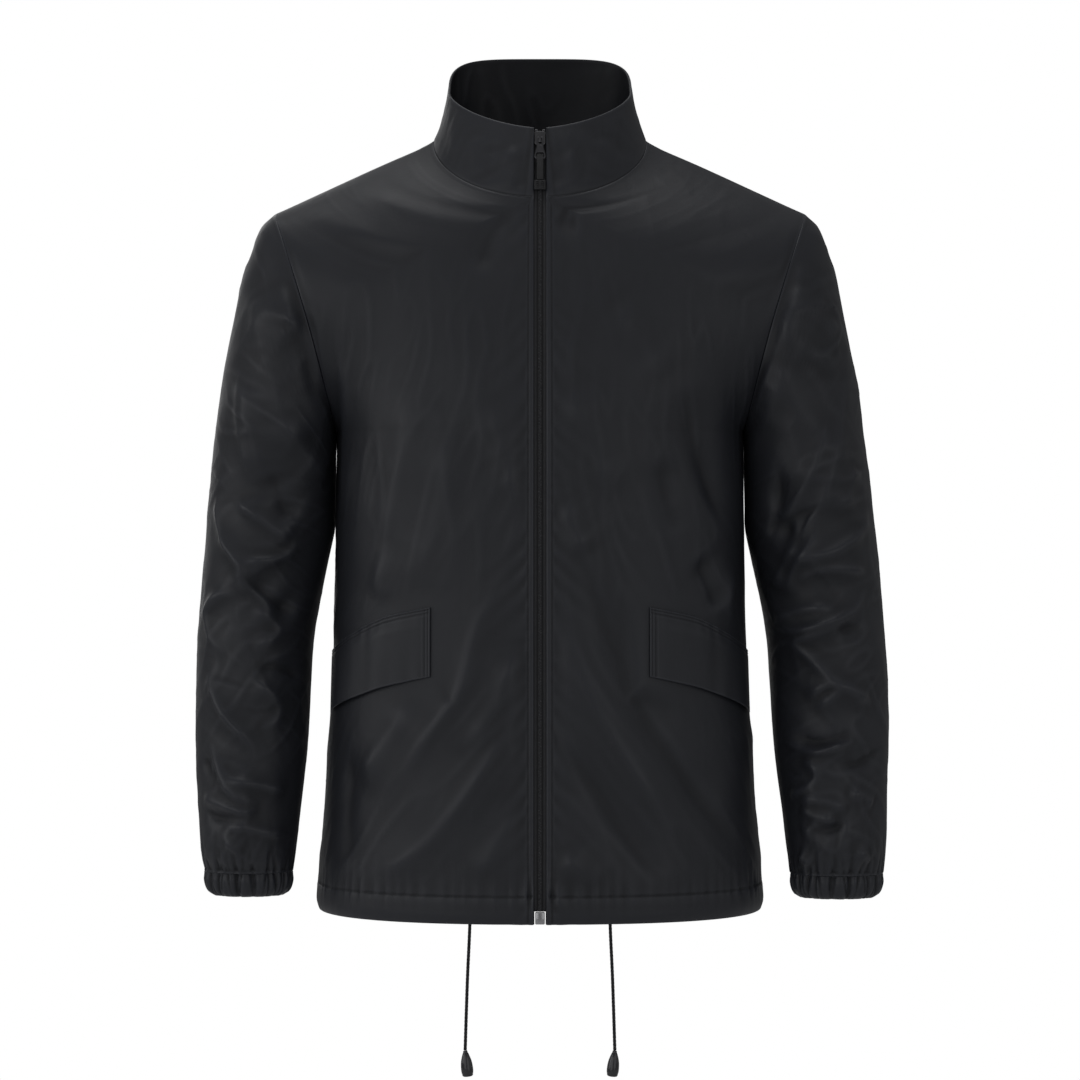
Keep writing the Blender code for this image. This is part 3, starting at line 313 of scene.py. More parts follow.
def braided_tube(name, path, material):
    """A tube along a path whose surface rises in crossing strands."""
    ahead = np.gradient(path, axis=0)
    ahead /= np.linalg.norm(ahead, axis=1, keepdims=True)
    across = np.cross(ahead, (1.0, 0.0, 0.0))
    across /= np.linalg.norm(across, axis=1, keepdims=True)
    beside = np.cross(ahead, across)
    turn = np.linspace(0, 2 * math.pi, CORD_SIDES + 1)[None, :]
    twist = (lengths_along(path) * math.pi / BRAID_STEP)[:, None]
    strands = BRAID_STRANDS * turn / 2
    rise = np.maximum(np.cos(strands + twist) ** 2, np.cos(strands - twist) ** 2)
    radius = (CORD_RADIUS * (1 - BRAID_DEPTH * (1 - rise)))[..., None]
    ring = np.cos(turn)[..., None] * across[:, None] + np.sin(turn)[..., None] * beside[:, None]
    return skin(name, [path[:, None] + radius * ring], material, capped=True)


# Teardrop tips: dark glossy mouldings that the cord's ends are threaded into, with their knots
# inside. A bead at the top grips the cord, and the closed foot has a shallow rim.
TIP_TILT = math.radians(6)
TIP_GAP = 0.0003
TIP_RING_STEP = 0.0005
TIP_SIDES = 40
TIP_COLOUR = (0.060, 0.061, 0.066)
TIP_PROFILE = (
    (0.0008, 0.0), (0.0017, 0.0001), (0.0020, 0.0006), (0.0019, 0.0012), (0.0022, 0.0018),
    (0.0031, 0.0040), (0.0041, 0.0070), (0.0049, 0.0105), (0.0053, 0.0148), (0.0053, 0.0180),
    (0.0050, 0.0200), (0.0047, 0.0206), (0.0048, 0.0211), (0.0044, 0.0221), (0.0033, 0.0227),
    (0.0, 0.0229),
)


def spun(name, profile, place, turn, material):
    """A shape turned from its profile of (radius, depth) points, hung from a place."""
    bm = bmesh.new()
    line = smooth_line(profile, TIP_RING_STEP)
    line[:, 0] = np.maximum(line[:, 0], 0.0)
    line[-1, 0] = 0.0
    verts = [bm.verts.new((radius, 0, -depth)) for radius, depth in line]
    edges = [bm.edges.new(pair) for pair in zip(verts, verts[1:])]
    bmesh.ops.spin(
        bm, geom=verts + edges, cent=(0, 0, 0), axis=(0, 0, 1), angle=math.tau,
        steps=TIP_SIDES, use_merge=True,
    )
    bmesh.ops.remove_doubles(bm, verts=bm.verts, dist=1e-5)
    bmesh.ops.holes_fill(bm, edges=[edge for edge in bm.edges if edge.is_boundary], sides=0)
    bmesh.ops.recalc_face_normals(bm, faces=bm.faces)
    bmesh.ops.transform(bm, matrix=Matrix.Translation(place) @ turn, verts=bm.verts)
    return finished(name, bm, material)


yarn = textured("cord_yarn", YARN_COLOUR, 0.62, tint=(900, 0.5))
wire = Wire(yarn.node_tree)
bumped(wire, weave(wire, YARN_THREAD), 0.00006, 0.7).into("Normal")
moulding = textured(
    "tip_moulding", TIP_COLOUR, 0.20, gloss=(260, 0.14, 0.12), grain=(700, 0.00008, 0.35),
    Metallic=0.5, Coat_Weight=0.6,
)
for side_name, side in SIDES:
    start = np.array(CORD_START) * (side, 1, 1)
    path = smooth_line(start + np.array(CORD_ROUTE) * (side, 1, 1), CORD_RING_STEP)
    tip_turn = Matrix.Rotation(side * TIP_TILT, 4, "Y")
    tip_place = Vector(path[-1]) - Vector((0, 0, TIP_GAP))
    tip = spun("cord_end_" + side_name, TIP_PROFILE, tip_place, tip_turn, moulding)
    fasten(tip, "grey_metal", "cord_tip_" + side_name)
    braid = braided_tube("cord_braid_" + side_name, path, yarn)
    fasten(braid, "cord_yarn", "drawcord_" + side_name)


# The eyelets: plated rings in the hem's casing. They keep their solids' form, with their edges
# rounded off as pressed metal has them, and so do the zip's metal parts further down.
GREY_COLOUR = (0.24, 0.25, 0.28)
EYELET_EDGE = 0.00025
FLAT_ANGLE = math.radians(1)
SHARP_ANGLE = math.radians(35)
SHADED_SHARP_ANGLE = math.radians(40)


def plated(name, colour, roughness):
    """Plated metal: clouded a little by handling, with fine scratches."""
    material, wire = finish(name, colour, roughness, Metallic=1.0)
    (object_noise(wire, 420, 4.0) * 0.22 + (roughness - 0.10)).into("Roughness")
    tinted(object_noise(wire, 160), 0.12, colour).into("Base Color")
    bumped(wire, object_noise(wire, 1500, 3.0), 0.00004, 0.4).into("Normal")
    return material


def rounded_copy(name, node, width, material, slot, body="jacket"):
    """A finer copy of a solid in its place, with its sharp edges rounded off."""
    bm = bmesh.new()
    bm.from_mesh(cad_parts[node].data)
    bmesh.ops.remove_doubles(bm, verts=bm.verts, dist=1e-6)
    bmesh.ops.dissolve_limit(bm, angle_limit=FLAT_ANGLE, verts=bm.verts, edges=bm.edges)
    sharp = [edge for edge in bm.edges if edge.calc_face_angle(0) > SHARP_ANGLE]
    bmesh.ops.bevel(
        bm, geom=sharp, offset=width, segments=3, affect="EDGES", profile=0.5, material=-1,
        clamp_overlap=True,
    )
    piece = finished(name, bm, material)
    piece.data.set_sharp_from_angle(angle=SHADED_SHARP_ANGLE)
    fasten(piece, slot, node, body=body)


grey_plate = plated("grey_plate", GREY_COLOUR, 0.32)
for side_name, side in SIDES:
    rounded_copy(
        "eyelet_ring_" + side_name, "eyelet_" + side_name, EYELET_EDGE, grey_plate, "grey_metal"
    )


# The shell cloth that the whole jacket is cut from: light polyester taffeta, nearly black with a
# little blue, calendered to a satin sheen. The collar and the flaps are of two layers and the rest
# of one, and every cut edge is turned in or sewn into a seam.
SHELL_COLOUR = (0.0276, 0.0297, 0.0368)
SHELL_ROUGHNESS = 0.50
SHELL_SHINE = 0.48
SHELL_THREAD = 0.00045
SHELL_TINT = 0.62
CLOUDS_SCALE = 14
CLOUDS_SHARE = 0.24
# How far the base colour is darkened in folds and lightened on crests: painted shade and painted
# highlight
FOLD_PAINTED_SHADE_AND_HIGHLIGHT = 0.42
FOLD_DULLING = 0.20
CRUMPLE_SCALE = 34
CRUMPLE_DEPTH = 0.0011
CRUMPLE_DRAWN_DOWN = (1.0, 1.0, 0.38)
GRAIN_SCALE = 260
GRAIN_DEPTH = 0.00022
CLOTH_THICKNESS = 0.0006
FRONT, BACK = -1, 1
TURNED_RADIUS = 0.0011
SEAM_RADIUS = 0.0007
SEAM_TAIL = 0.0015
SLIDE = 0.0005


def shell_cloth(name, colour, shine):
    """Shell cloth: clouded, duller in its folds, with painted shade in its folds and a painted
    highlight on its crests, finely crumpled, and woven.
    """
    material, wire = finish(name, colour, SHELL_ROUGHNESS, Specular_IOR_Level=shine)
    fold = wire.node("ShaderNodeAttribute", output=2, attribute_name="fold")
    clouds = object_noise(wire, CLOUDS_SCALE, 3.0) * CLOUDS_SHARE + 0.38
    # Painted shade in the folds and a painted highlight on the crests, read from the fold attribute
    tinted(clouds - fold * FOLD_PAINTED_SHADE_AND_HIGHLIGHT, SHELL_TINT, colour).into("Base Color")
    dulled = object_noise(wire, 30, 4.0) * 0.12 + fold * FOLD_DULLING
    (dulled + (SHELL_ROUGHNESS - 0.06)).into("Roughness")
    place = wire.node("ShaderNodeTexCoord", output="Object")
    drawn = wire.node(
        "ShaderNodeVectorMath", {0: place, 1: CRUMPLE_DRAWN_DOWN}, operation="MULTIPLY",
    )
    ridges = wire.node(
        "ShaderNodeTexNoise",
        {"Vector": drawn, "Scale": CRUMPLE_SCALE, "Detail": 3.0, "Distortion": 0.7},
        noise_type="RIDGED_MULTIFRACTAL",
    )
    crumple = bumped(wire, ridges, CRUMPLE_DEPTH, 0.60)
    grain = bumped(wire, object_noise(wire, GRAIN_SCALE, 3.0), GRAIN_DEPTH, 0.45, crumple)
    bumped(wire, weave(wire, SHELL_THREAD), 0.00002, 0.35, grain).into("Normal")
    return material


class Table:
    """A short table with named columns, read smoothly between its rows."""

    def __init__(self, names, *rows):
        self.names = names.split()
        self.rows = rows

    def column(self, name):
        place = self.names.index(name)
        return [row[place] for row in self.rows]

    def at(self, name, key):
        """The value of a column where the first column has the value key."""
        keys = self.column(self.names[0])
        values = self.column(name)
        last = len(keys) - 1
        cell = max(k for k in range(last) if k == 0 or keys[k] <= key)

        def slope(k):
            low, high = max(k - 1, 0), min(k + 1, last)
            return (values[high] - values[low]) / (keys[high] - keys[low])

        width = keys[cell + 1] - keys[cell]
        share = (key - keys[cell]) / width
        rest = 1 - share
        return (
            values[cell] * (1 + 2 * share) * rest * rest
            + values[cell + 1] * (1 + 2 * rest) * share * share
            + (slope(cell) * rest - slope(cell + 1) * share) * width * share * rest
        )


def ease(share):
    """Goes smoothly from 0 to 1, and stays there."""
    share = np.clip(share, 0.0, 1.0)
    return share * share * (3 - 2 * share)


def ridge(distance, width):
    """A round ridge of height 1 along a line."""
    return np.exp(-((distance / width) ** 2))


def sweep(row_at, places):
    """Points and unit normals of a surface made of rows. row_at gives the row at a place, slid
    sideways by a little."""
    points = np.array([row_at(place, 0.0) for place in places])
    sideways = np.array([row_at(place, SLIDE) - row_at(place, -SLIDE) for place in places])
    upwards = np.array([row_at(place + SLIDE, 0.0) - row_at(place - SLIDE, 0.0) for place in places])
    normals = np.cross(sideways, upwards)
    return points, normals / np.linalg.norm(normals, axis=2, keepdims=True)


def turned_edge(back):
    """An edge with its cloth turned in: distances from the edge and depths under the surface, from
    the end of the turned cloth round to the outside."""
    bends = np.linspace(math.pi, 0, 7)
    inner = np.linspace(back, 1.6 * TURNED_RADIUS, 4)
    distances = np.append(inner, TURNED_RADIUS * (1 - np.sin(bends)))
    depths = np.append(np.full(4, 2 * TURNED_RADIUS), TURNED_RADIUS * (1 - np.cos(bends)))
    return distances, depths


def sewn_edge():
    """An edge sewn into a seam, whose allowance goes straight in."""
    bends = np.linspace(math.pi / 2, 0, 5)
    distances = np.append(0.0, SEAM_RADIUS * (1 - np.sin(bends)))
    depths = np.append(SEAM_RADIUS + SEAM_TAIL, SEAM_RADIUS * (1 - np.cos(bends)))
    return distances, depths


# How the cells of a piece lie across it: each is at a distance from the start of its row plus a
# share of the row's length, and at a depth under the surface
Spread = namedtuple("Spread", "starts shares depths")
FINE_STEPS = (0.0020, 0.0028, 0.0036, 0.0043, 0.0050, 0.0057, 0.0066, 0.0078, 0.0095, 0.0120)


def spread(first, last, cells):
    """Fine cells by both edges and even ones between; first and last are the edges' profiles."""
    fine = np.array(FINE_STEPS)
    even = np.linspace(0, 1, cells + 1)
    margin = fine[-1] + 0.0025
    starts = [first[0], fine, margin * (1 - 2 * even), -fine[::-1], -last[0][::-1]]
    shares = [0 * first[0], 0 * fine, even, 0 * fine + 1, 0 * last[0] + 1]
    depths = [first[1], 0 * fine, 0 * even, 0 * fine, last[1][::-1]]
    return Spread(*(np.concatenate(parts) for parts in (starts, shares, depths)))


def seen(points, face):
    """Where points show from straight in front or behind, on the plane through the neck."""
    scale = VIEW_DISTANCE / (VIEW_DISTANCE - face * points[..., 1])
    height = VIEW_HEIGHT + (points[..., 2] - VIEW_HEIGHT) * scale
    return np.stack([points[..., 0] * scale, height], axis=-1)


# A crease is a soft ridge, or a trough where its height is negative. It falls away within the
# steep width on the right-hand side of its route, and within the gentle width on the left. Crisp
# is near 0 for a sharp crest and near 1 for a round one. The route's points are where the crease
# shows from straight in front or behind. A table's row holds the four sizes and then the points.
Crease = namedtuple("Crease", "height steep gentle crisp route")
MM = 0.001
# A route is followed in steps this long, and its crease ends this many widths away from it
CREASE_STEP = 0.004
CREASE_REACH = 5
CREASE_SWELL = 0.22
CREASE_RAMP = 0.3
WRINKLE_CREST = 0.16


def creases(*rows):
    """A table's rows as creases."""
    return [Crease(*row[:4], row[4:]) for row in rows]


def crease_lift(table, shown, pattern):
    """How far a table's creases lift each place of a piece. shown is where the places show, and
    pattern is where they lie on the cloth when it is laid flat."""
    shown = shown.reshape(-1, 2)
    places = pattern.reshape(-1, 2)
    lift = np.zeros(len(places))
    for number, crease in enumerate(table):
        marks = np.array(crease.route) * MM
        found = [places[((shown - mark) ** 2).sum(1).argmin()] for mark in marks]
        route = smooth_line(found, CREASE_STEP)
        spans = np.diff(route, axis=0)
        lengths = np.linalg.norm(spans, axis=1)
        reach = CREASE_REACH * MM * max(crease.steep, crease.gentle)
        near = np.all((places > route.min(0) - reach) & (places < route.max(0) + reach), axis=1)
        offsets = places[near][:, None] - route[:-1]
        shares = np.clip((offsets * spans).sum(2) / lengths ** 2, 0, 1)
        gaps = offsets - shares[..., None] * spans
        apart = np.linalg.norm(gaps, axis=2)
        nearest = apart.argmin(1)
        rows = np.arange(len(nearest))
        gap, span = gaps[rows, nearest], spans[nearest]
        on_left = span[:, 0] * gap[:, 1] - span[:, 1] * gap[:, 0] > 0
        width = MM * np.where(on_left, crease.gentle, crease.steep)
        along = (nearest + shares[rows, nearest]) / len(spans)
        fall = np.exp(crease.crisp - np.hypot(apart[rows, nearest] / width, crease.crisp))
        swell = 1 + CREASE_SWELL * np.sin(9 * along + 2.3 * number)
        ends = ease(along / CREASE_RAMP) * ease((1 - along) / CREASE_RAMP)
        lift[near] += MM * crease.height * fall * swell * ends
    return lift.reshape(pattern.shape[:-1])


def rumple(pattern, size, seed):
    """Uneven swellings of the cloth, from -1 to 1, each about as wide as size."""
    places = pattern.reshape(-1, 2) / size
    values = [noise.noise(Vector((x, z, seed))) for x, z in places]
    return 2 * np.array(values).reshape(pattern.shape[:-1])


def wrinkles(pattern, size, stretch, lean, seed):
    """Sharp-crested wrinkles from 0 to 1, drawn out along lines that lean from upright."""
    x, z = pattern[..., 0], pattern[..., 1]
    across = (x * math.cos(lean) - z * math.sin(lean)) / size
    along = (x * math.sin(lean) + z * math.cos(lean)) / (size * stretch)
    places = zip(across.ravel(), along.ravel())
    values = np.array([noise.noise(Vector((a, b, seed))) for a, b in places])
    patches = np.clip(0.5 + rumple(pattern, size * 3.5, seed + 50), 0, 1)
    return np.exp(-np.abs(values.reshape(x.shape)) / WRINKLE_CREST) * patches


def pucker(distance, step, wander):
    """Small waves along a line of stitching, as uneven in spacing as in depth."""
    slow = np.sin(distance * math.tau / (step * 4.7) + wander)
    depth = 0.65 + 0.35 * np.sin(distance * 37 + wander)
    return np.sin(distance * math.tau / step + 1.6 * slow) * depth


def cloth(name, grids, material, *nodes, slot="shell_cloth"):
    """A piece of one layer of cloth, with its thickness laid inwards."""
    inside = np.array((grids[0][..., 0].mean() * 0.9, 0.0, -0.35))
    piece = skin(name, grids, material, inside=inside)
    wall = piece.modifiers.new("thickness", "SOLIDIFY")
    wall.thickness = CLOTH_THICKNESS
    wall.offset = -1
    return fasten(piece, slot, *nodes)


# The fronts: each is one panel from the zip to the side seam and from the hem to the shoulder. The
# edge by the zip is turned in and stitched down 5 mm from its fold, and the hem is turned up
# 25 mm and stitched as a casing for the drawcord.
HEM = -0.700
CASING_TOP = -0.675
UNDERARM = -0.265
FRONT_EDGE = 0.0055
ROUNDNESS = 0.64
NECK_HALF_WIDTH = 0.098
NECK_FRONT_DEPTH = 0.095
NECK_BACK_DEPTH = 0.085
NECK_FRONT_HEIGHT = -0.057
NECK_SIDE_HEIGHT = 0.004
NECK_BACK_HEIGHT = 0.022
ARMHOLE_MIDDLE = np.array((0.2148, 0.0, -0.1644))
ARMHOLE_LEAN = 0.0288
ARMHOLE_HALF_HEIGHT = 0.1006
ARMHOLE_BOW = 0.0055
ARMHOLE_FRONT_DEPTH = 0.078
ARMHOLE_BACK_DEPTH = 0.085
FRONT_LINE = Table(
    "height depth",
    (-0.700, 0.1465), (-0.692, 0.1495), (-0.640, 0.1490), (-0.560, 0.1465), (-0.480, 0.1435),
    (-0.400, 0.1405), (-0.330, 0.1375), (-0.265, 0.1345), (-0.200, 0.1275), (-0.165, 0.1205),
    (-0.120, 0.1100), (-0.057, 0.0950),
)
BACK_LINE = Table(
    "height depth",
    (-0.700, 0.1365), (-0.692, 0.1395), (-0.640, 0.1390), (-0.560, 0.1365), (-0.480, 0.1340),
    (-0.400, 0.1320), (-0.330, 0.1300), (-0.265, 0.1285), (-0.200, 0.1275), (-0.140, 0.1230),
    (-0.080, 0.1135), (-0.030, 0.1010), (0.022, 0.0850),
)
SIDE_LINE = Table(
    "height half_width",
    (-0.700, 0.2022), (-0.692, 0.2045), (-0.680, 0.2038), (-0.640, 0.2005), (-0.560, 0.1950),
    (-0.480, 0.1903), (-0.400, 0.1880), (-0.340, 0.1872), (-0.290, 0.1862), (-0.265, 0.1860),
)
FRONT_YOKE = Table(
    "rise reach_in push_in reach_out push_out",
    (0.00, 0.64, 0.000, 0.00, 0.086),
    (0.25, 0.60, 0.005, 0.17, 0.046),
    (0.50, 0.34, 0.007, 0.30, 0.029),
    (0.75, 0.33, 0.004, 0.33, 0.012),
    (1.00, 0.33, 0.000, 0.33, 0.000),
)
BACK_YOKE = Table(
    "rise reach_in push_in reach_out push_out",
    (0.00, 0.64, 0.000, 0.00, 0.082),
    (0.25, 0.60, 0.005, 0.15, 0.053),
    (0.50, 0.34, 0.023, 0.30, 0.035),
    (0.75, 0.33, 0.019, 0.33, 0.018),
    (1.00, 0.33, 0.000, 0.33, 0.000),
)
RISE_LENGTH = 0.25
NECK_TIGHTNESS = 0.35
NECK_FALL = 0.0014
NECK_FALL_WIDTH = 0.014
SOFT_ROWS = 9
BODY_RELIEF = 1.45
BODY_ROW = 0.0030
YOKE_ROWS = 86
FRONT_CELLS = 84
ZIP_STITCHES = 0.0050
STITCH_GROOVE = 0.0008
UNDER_FLAP_FADE = 0.022
HEM_TURN_UP = 0.0243
PUCKER_HEIGHT = 0.0013
WELT = 0.0004
WELT_GROOVE = 0.0003
WELT_PUCKERS = 0.0003
SLANTING_PUCKERS = 0.0009
CASING_FULLNESS = 0.0005
CASING_GROOVE = 0.0002
FRONT_SWELLING = 0.0008
SWELLING_SIZE = 0.080
BROAD_WRINKLES = 0.0010
NARROW_WRINKLES = 0.0006
YOKE_CALM = -0.08
YOKE_CALM_FADE = 0.14
CALM_BY_ZIP = 0.016
CALM_BY_SEAM = 0.010
CALM_BY_CASING = 0.030
CALM_BY_SHOULDER = 1 / 9
SOFT_LEVEL = 0.55
SOFT_REACH = 0.28
SOFT_FADE = 0.12
FAN_TOP = -0.20
FAN_LEAN = 0.08
FAN_SPREAD = 0.75
FLAP = Table(
    "x top bottom top_gap bottom_gap",
    (0.0963, -0.4222, -0.4835, 0.0005, 0.0005),
    (0.1180, -0.4265, -0.4885, 0.0005, 0.0005),
    (0.1405, -0.4324, -0.4946, 0.0005, 0.0012),
    (0.1654, -0.4455, -0.5050, 0.0006, 0.0032),
    (0.1800, -0.4560, -0.5135, 0.0004, 0.0040),
    (0.1885, -0.4640, -0.5200, 0.0002, 0.0008),
)
FRONT_CREASES = creases(
    (2.0, 10, 18, 0.7, (-120, -41), (-149, -70), (-177, -95)),
    (-2.2, 9, 14, 0.6, (-113, -41), (-147, -87), (-186, -143)),
    (3.0, 12, 18, 0.8, (-109, -205), (-127, -289), (-143, -381)),
    (2.2, 9, 12, 0.7, (-50, -230), (-32, -285), (-20, -335)),
    (4.0, 8, 15, 0.35, (-23, -387), (-59, -442), (-74, -497), (-105, -547), (-141, -599)),
    (3.8, 8, 15, 0.35, (-23, -526), (-62, -590), (-105, -643), (-150, -676)),
    (3.5, 9, 14, 0.6, (-114, -507), (-136, -540), (-169, -593)),
    (2.5, 8, 12, 0.7, (-136, -363), (-153, -418)),
    (2.6, 10, 14, 0.8, (-83, -253), (-92, -326), (-118, -409)),
    (-2.2, 8, 10, 0.6, (-32, -55), (-46, -87), (-55, -124)),
    (2.6, 8, 12, 0.7, (-172, -170), (-179, -253), (-182, -345)),
    (3.0, 8, 12, 0.6, (-18, -455), (-37, -501), (-72, -565)),
    (2.4, 8, 12, 0.7, (-18, -602), (-37, -639), (-64, -680)),
    (-3.0, 9, 12, 0.6, (-173, -547), (-179, -611), (-175, -667)),
    (2.6, 10, 16, 0.8, (28, -213), (48, -271), (68, -324)),
    (-4.5, 10, 14, 0.6, (130, -220), (147, -279), (173, -358)),
    (-2.4, 8, 12, 0.6, (111, -281), (118, -322), (127, -358)),
    (2.2, 7, 10, 0.6, (14, -327), (29, -354), (48, -377)),
    (1.8, 10, 16, 0.7, (155, -84), (170, -110), (189, -141)),
    (-2.6, 6, 9, 0.5, (11, -61), (23, -69), (36, -73)),
    (-5.5, 10, 17, 0.5, (36, -375), (72, -471), (103, -535), (144, -593), (187, -659)),
    (-4.2, 9, 15, 0.5, (19, -550), (60, -607), (91, -645), (120, -683)),
    (-3.2, 8, 12, 0.6, (144, -375), (155, -400), (165, -427)),
    (3.8, 9, 15, 0.6, (18, -437), (46, -501), (92, -584), (138, -648)),
    (3.4, 9, 15, 0.6, (92, -510), (138, -575), (179, -630)),
    (2.0, 10, 14, 0.9, (64, -142), (92, -179), (115, -216)),
    (2.2, 7, 10, 0.7, (177, -455), (173, -418), (179, -381)),
    (2.4, 7, 10, 0.7, (18, -648), (32, -667), (55, -685)),
)


def neck_point(turn):
    """A point of the neck seam; turn goes from 0 at the front's middle to half a turn behind."""
    front = turn <= math.pi / 2
    depth = NECK_FRONT_DEPTH if front else NECK_BACK_DEPTH
    height = NECK_FRONT_HEIGHT if front else NECK_BACK_HEIGHT
    rise = (NECK_SIDE_HEIGHT - height) * (1 - abs(math.cos(turn)))
    return np.array((NECK_HALF_WIDTH * math.sin(turn), -depth * math.cos(turn), height + rise))


def armhole_point(angle, face):
    """A point of the armhole; the angle goes from 0 at the shoulder to half a turn underneath."""
    depth = {FRONT: ARMHOLE_FRONT_DEPTH, BACK: ARMHOLE_BACK_DEPTH}[face]
    return ARMHOLE_MIDDLE + (
        ARMHOLE_LEAN * math.cos(angle) - ARMHOLE_BOW * math.sin(angle) ** 2,
        face * depth * math.sin(angle),
        ARMHOLE_HALF_HEIGHT * math.cos(angle),
    )


def body_row(face, height):
    """The Bezier handles of a level row of cloth, from the centre front or back to the side."""
    depth = {FRONT: FRONT_LINE, BACK: BACK_LINE}[face].at("depth", height)
    side = SIDE_LINE.at("half_width", height)
    start = FRONT_EDGE if face == FRONT else 0.0
    return np.array((
        (start, face * depth, height),
        (start + ROUNDNESS * (side - start), face * depth, height),
        (side, face * ROUNDNESS * depth, height),
        (side, 0.0, height),
    ))


def yoke_row(face, rise):
    """The Bezier handles of a row above the underarm; rise is 1 along the shoulder seam."""
    yoke = {FRONT: FRONT_YOKE, BACK: BACK_YOKE}[face]
    line = {FRONT: FRONT_LINE, BACK: BACK_LINE}[face]
    neck_height = {FRONT: NECK_FRONT_HEIGHT, BACK: NECK_BACK_HEIGHT}[face]
    if rise < 0.5:
        height = UNDERARM + (neck_height - UNDERARM) * rise * 2
        start = np.array((0.0, face * line.at("depth", height), height))
    else:
        around = math.pi * min(rise - 0.5, 0.5)
        start = neck_point(around if face == FRONT else math.pi + 1e-9 - around)
    if face == FRONT:
        start[0] = max(start[0], FRONT_EDGE)
    end = armhole_point(math.pi * (1 - rise), face)
    width = end[0] - start[0]
    drop = (end[2] - start[2]) / 3
    return np.array((
        start,
        start + (yoke.at("reach_in", rise) * width, face * yoke.at("push_in", rise), drop),
        end - (yoke.at("reach_out", rise) * width, -face * yoke.at("push_out", rise), drop),
        end,
    ))


def row_handles(face, level):
    """Levels run up in metres to 0 at the underarm, and then in shares of the yoke's rise."""
    return body_row(face, UNDERARM + level) if level <= 0 else yoke_row(face, level)


def on_row(handles, shares):
    """Points on a row's Bezier curve, at shares from 0 to 1."""
    a, b, c, d = handles
    t = np.asarray(shares)[..., None]
    rest = 1 - t
    return a * rest ** 3 + 3 * b * rest ** 2 * t + 3 * c * rest * t ** 2 + d * t ** 3


DENSE_SHARES = np.linspace(0, 1, 129)


def lay_row(handles, starts, shares):
    """Points along a row, each at a distance from its start plus a share of its length."""
    walked = lengths_along(on_row(handles, DENSE_SHARES))
    along = starts + shares * walked[-1]
    return on_row(handles, np.interp(along, walked, DENSE_SHARES)), along, walked[-1]


def front_at(x, height):
    """The point of the smooth front at a width and a height below the underarm."""
    handles = body_row(FRONT, height)
    return on_row(handles, np.interp(x, on_row(handles, DENSE_SHARES)[:, 0], DENSE_SHARES))


def clear_of_flap(points):
    """Goes from 1 in open cloth to 0 under a pocket flap, where the front lies smooth."""
    x = np.abs(points[..., 0])
    held = np.clip(x, FLAP.rows[0][0], FLAP.rows[-1][0])
    top = np.interp(held, FLAP.column("x"), FLAP.column("top"))
    bottom = np.interp(held, FLAP.column("x"), FLAP.column("bottom"))
    outside = np.maximum(points[..., 2] - top, bottom - points[..., 2])
    return ease((np.maximum(outside, FLAP.rows[0][0] - x) - 0.004) / UNDER_FLAP_FADE)


hem_distances, hem_depths = turned_edge(HEM_TURN_UP)
top_distances, top_depths = sewn_edge()
below_stitches = np.arange(0.0035, 0.0210, BODY_ROW)
by_stitches = np.arange(0.0222, 0.0285, 0.0008)
above_stitches = np.arange(0.0310, UNDERARM - HEM, BODY_ROW)
body_levels = np.concatenate([
    HEM - UNDERARM + np.concatenate([hem_distances, below_stitches, by_stitches, above_stitches]),
    [0.0],
    np.arange(1, YOKE_ROWS) / YOKE_ROWS,
    1 - top_distances[::-1] / RISE_LENGTH,
])
body_depths = np.zeros(len(body_levels))
body_depths[:len(hem_depths)] = hem_depths
body_depths[-len(top_depths):] = top_depths[::-1]


def from_neck(points):
    """How far each place is from the neck seam."""
    seam = np.array([neck_point(turn) for turn in np.linspace(0, math.pi, 90)])
    return np.linalg.norm(points[..., None, :] - seam, axis=-1).min(-1)


def softened(rows):
    """Rows of a surface, each averaged with those around it."""
    steps = range(2 * SOFT_ROWS + 1)
    shares = [math.exp(-(((step - SOFT_ROWS) / (SOFT_ROWS / 2)) ** 2)) for step in steps]
    padded = np.pad(rows, ((SOFT_ROWS, SOFT_ROWS), (0, 0), (0, 0)), "edge")
    moved = [share * padded[step:step + len(rows)] for step, share in zip(steps, shares)]
    return sum(moved) / sum(shares)


def half_body(face, columns):
    """Half of the front or back: its points, normals, distances from the middle and side, and
    depths under the surface. The edge at the neck seam is tighter than the one by the zip, and
    the back has none down its middle."""
    first = columns.shares == 0
    edge_below = 1.0 if face == FRONT else 0.0

    def tightness(level):
        return np.where(first, np.where(level >= 0.5, NECK_TIGHTNESS, edge_below), 1.0)

    def starts(level):
        return tightness(level) * columns.starts

    def row_at(level, slide):
        return lay_row(row_handles(face, level), starts(level) + slide, columns.shares)[0]

    laid = [lay_row(row_handles(face, level), starts(level), columns.shares) for level in body_levels]
    along = np.array([row[1] for row in laid])
    lengths = np.array([row[2] for row in laid])[:, None]
    tight = tightness(body_levels[:, None])
    points, normals = sweep(row_at, body_levels)
    by_neck = ease((SOFT_REACH - np.abs(body_levels - SOFT_LEVEL)) / SOFT_FADE)[:, None]
    normals += (softened(normals) - normals) * by_neck[..., None]
    normals /= np.linalg.norm(normals, axis=2, keepdims=True)
    rounding = ((softened(points) - points) * -face * normals).sum(2) * by_neck
    apart = from_neck(points)
    rounding *= ease(apart / 0.012)
    if face == FRONT:
        rounding *= ease((np.abs(points[..., 0]) - FRONT_EDGE) / 0.010)
    fall = NECK_FALL * apart / NECK_FALL_WIDTH * np.exp(1 - apart / NECK_FALL_WIDTH)
    depths = tight * columns.depths + body_depths[:, None] - rounding + fall
    return points, -face * normals, along, lengths - along, depths


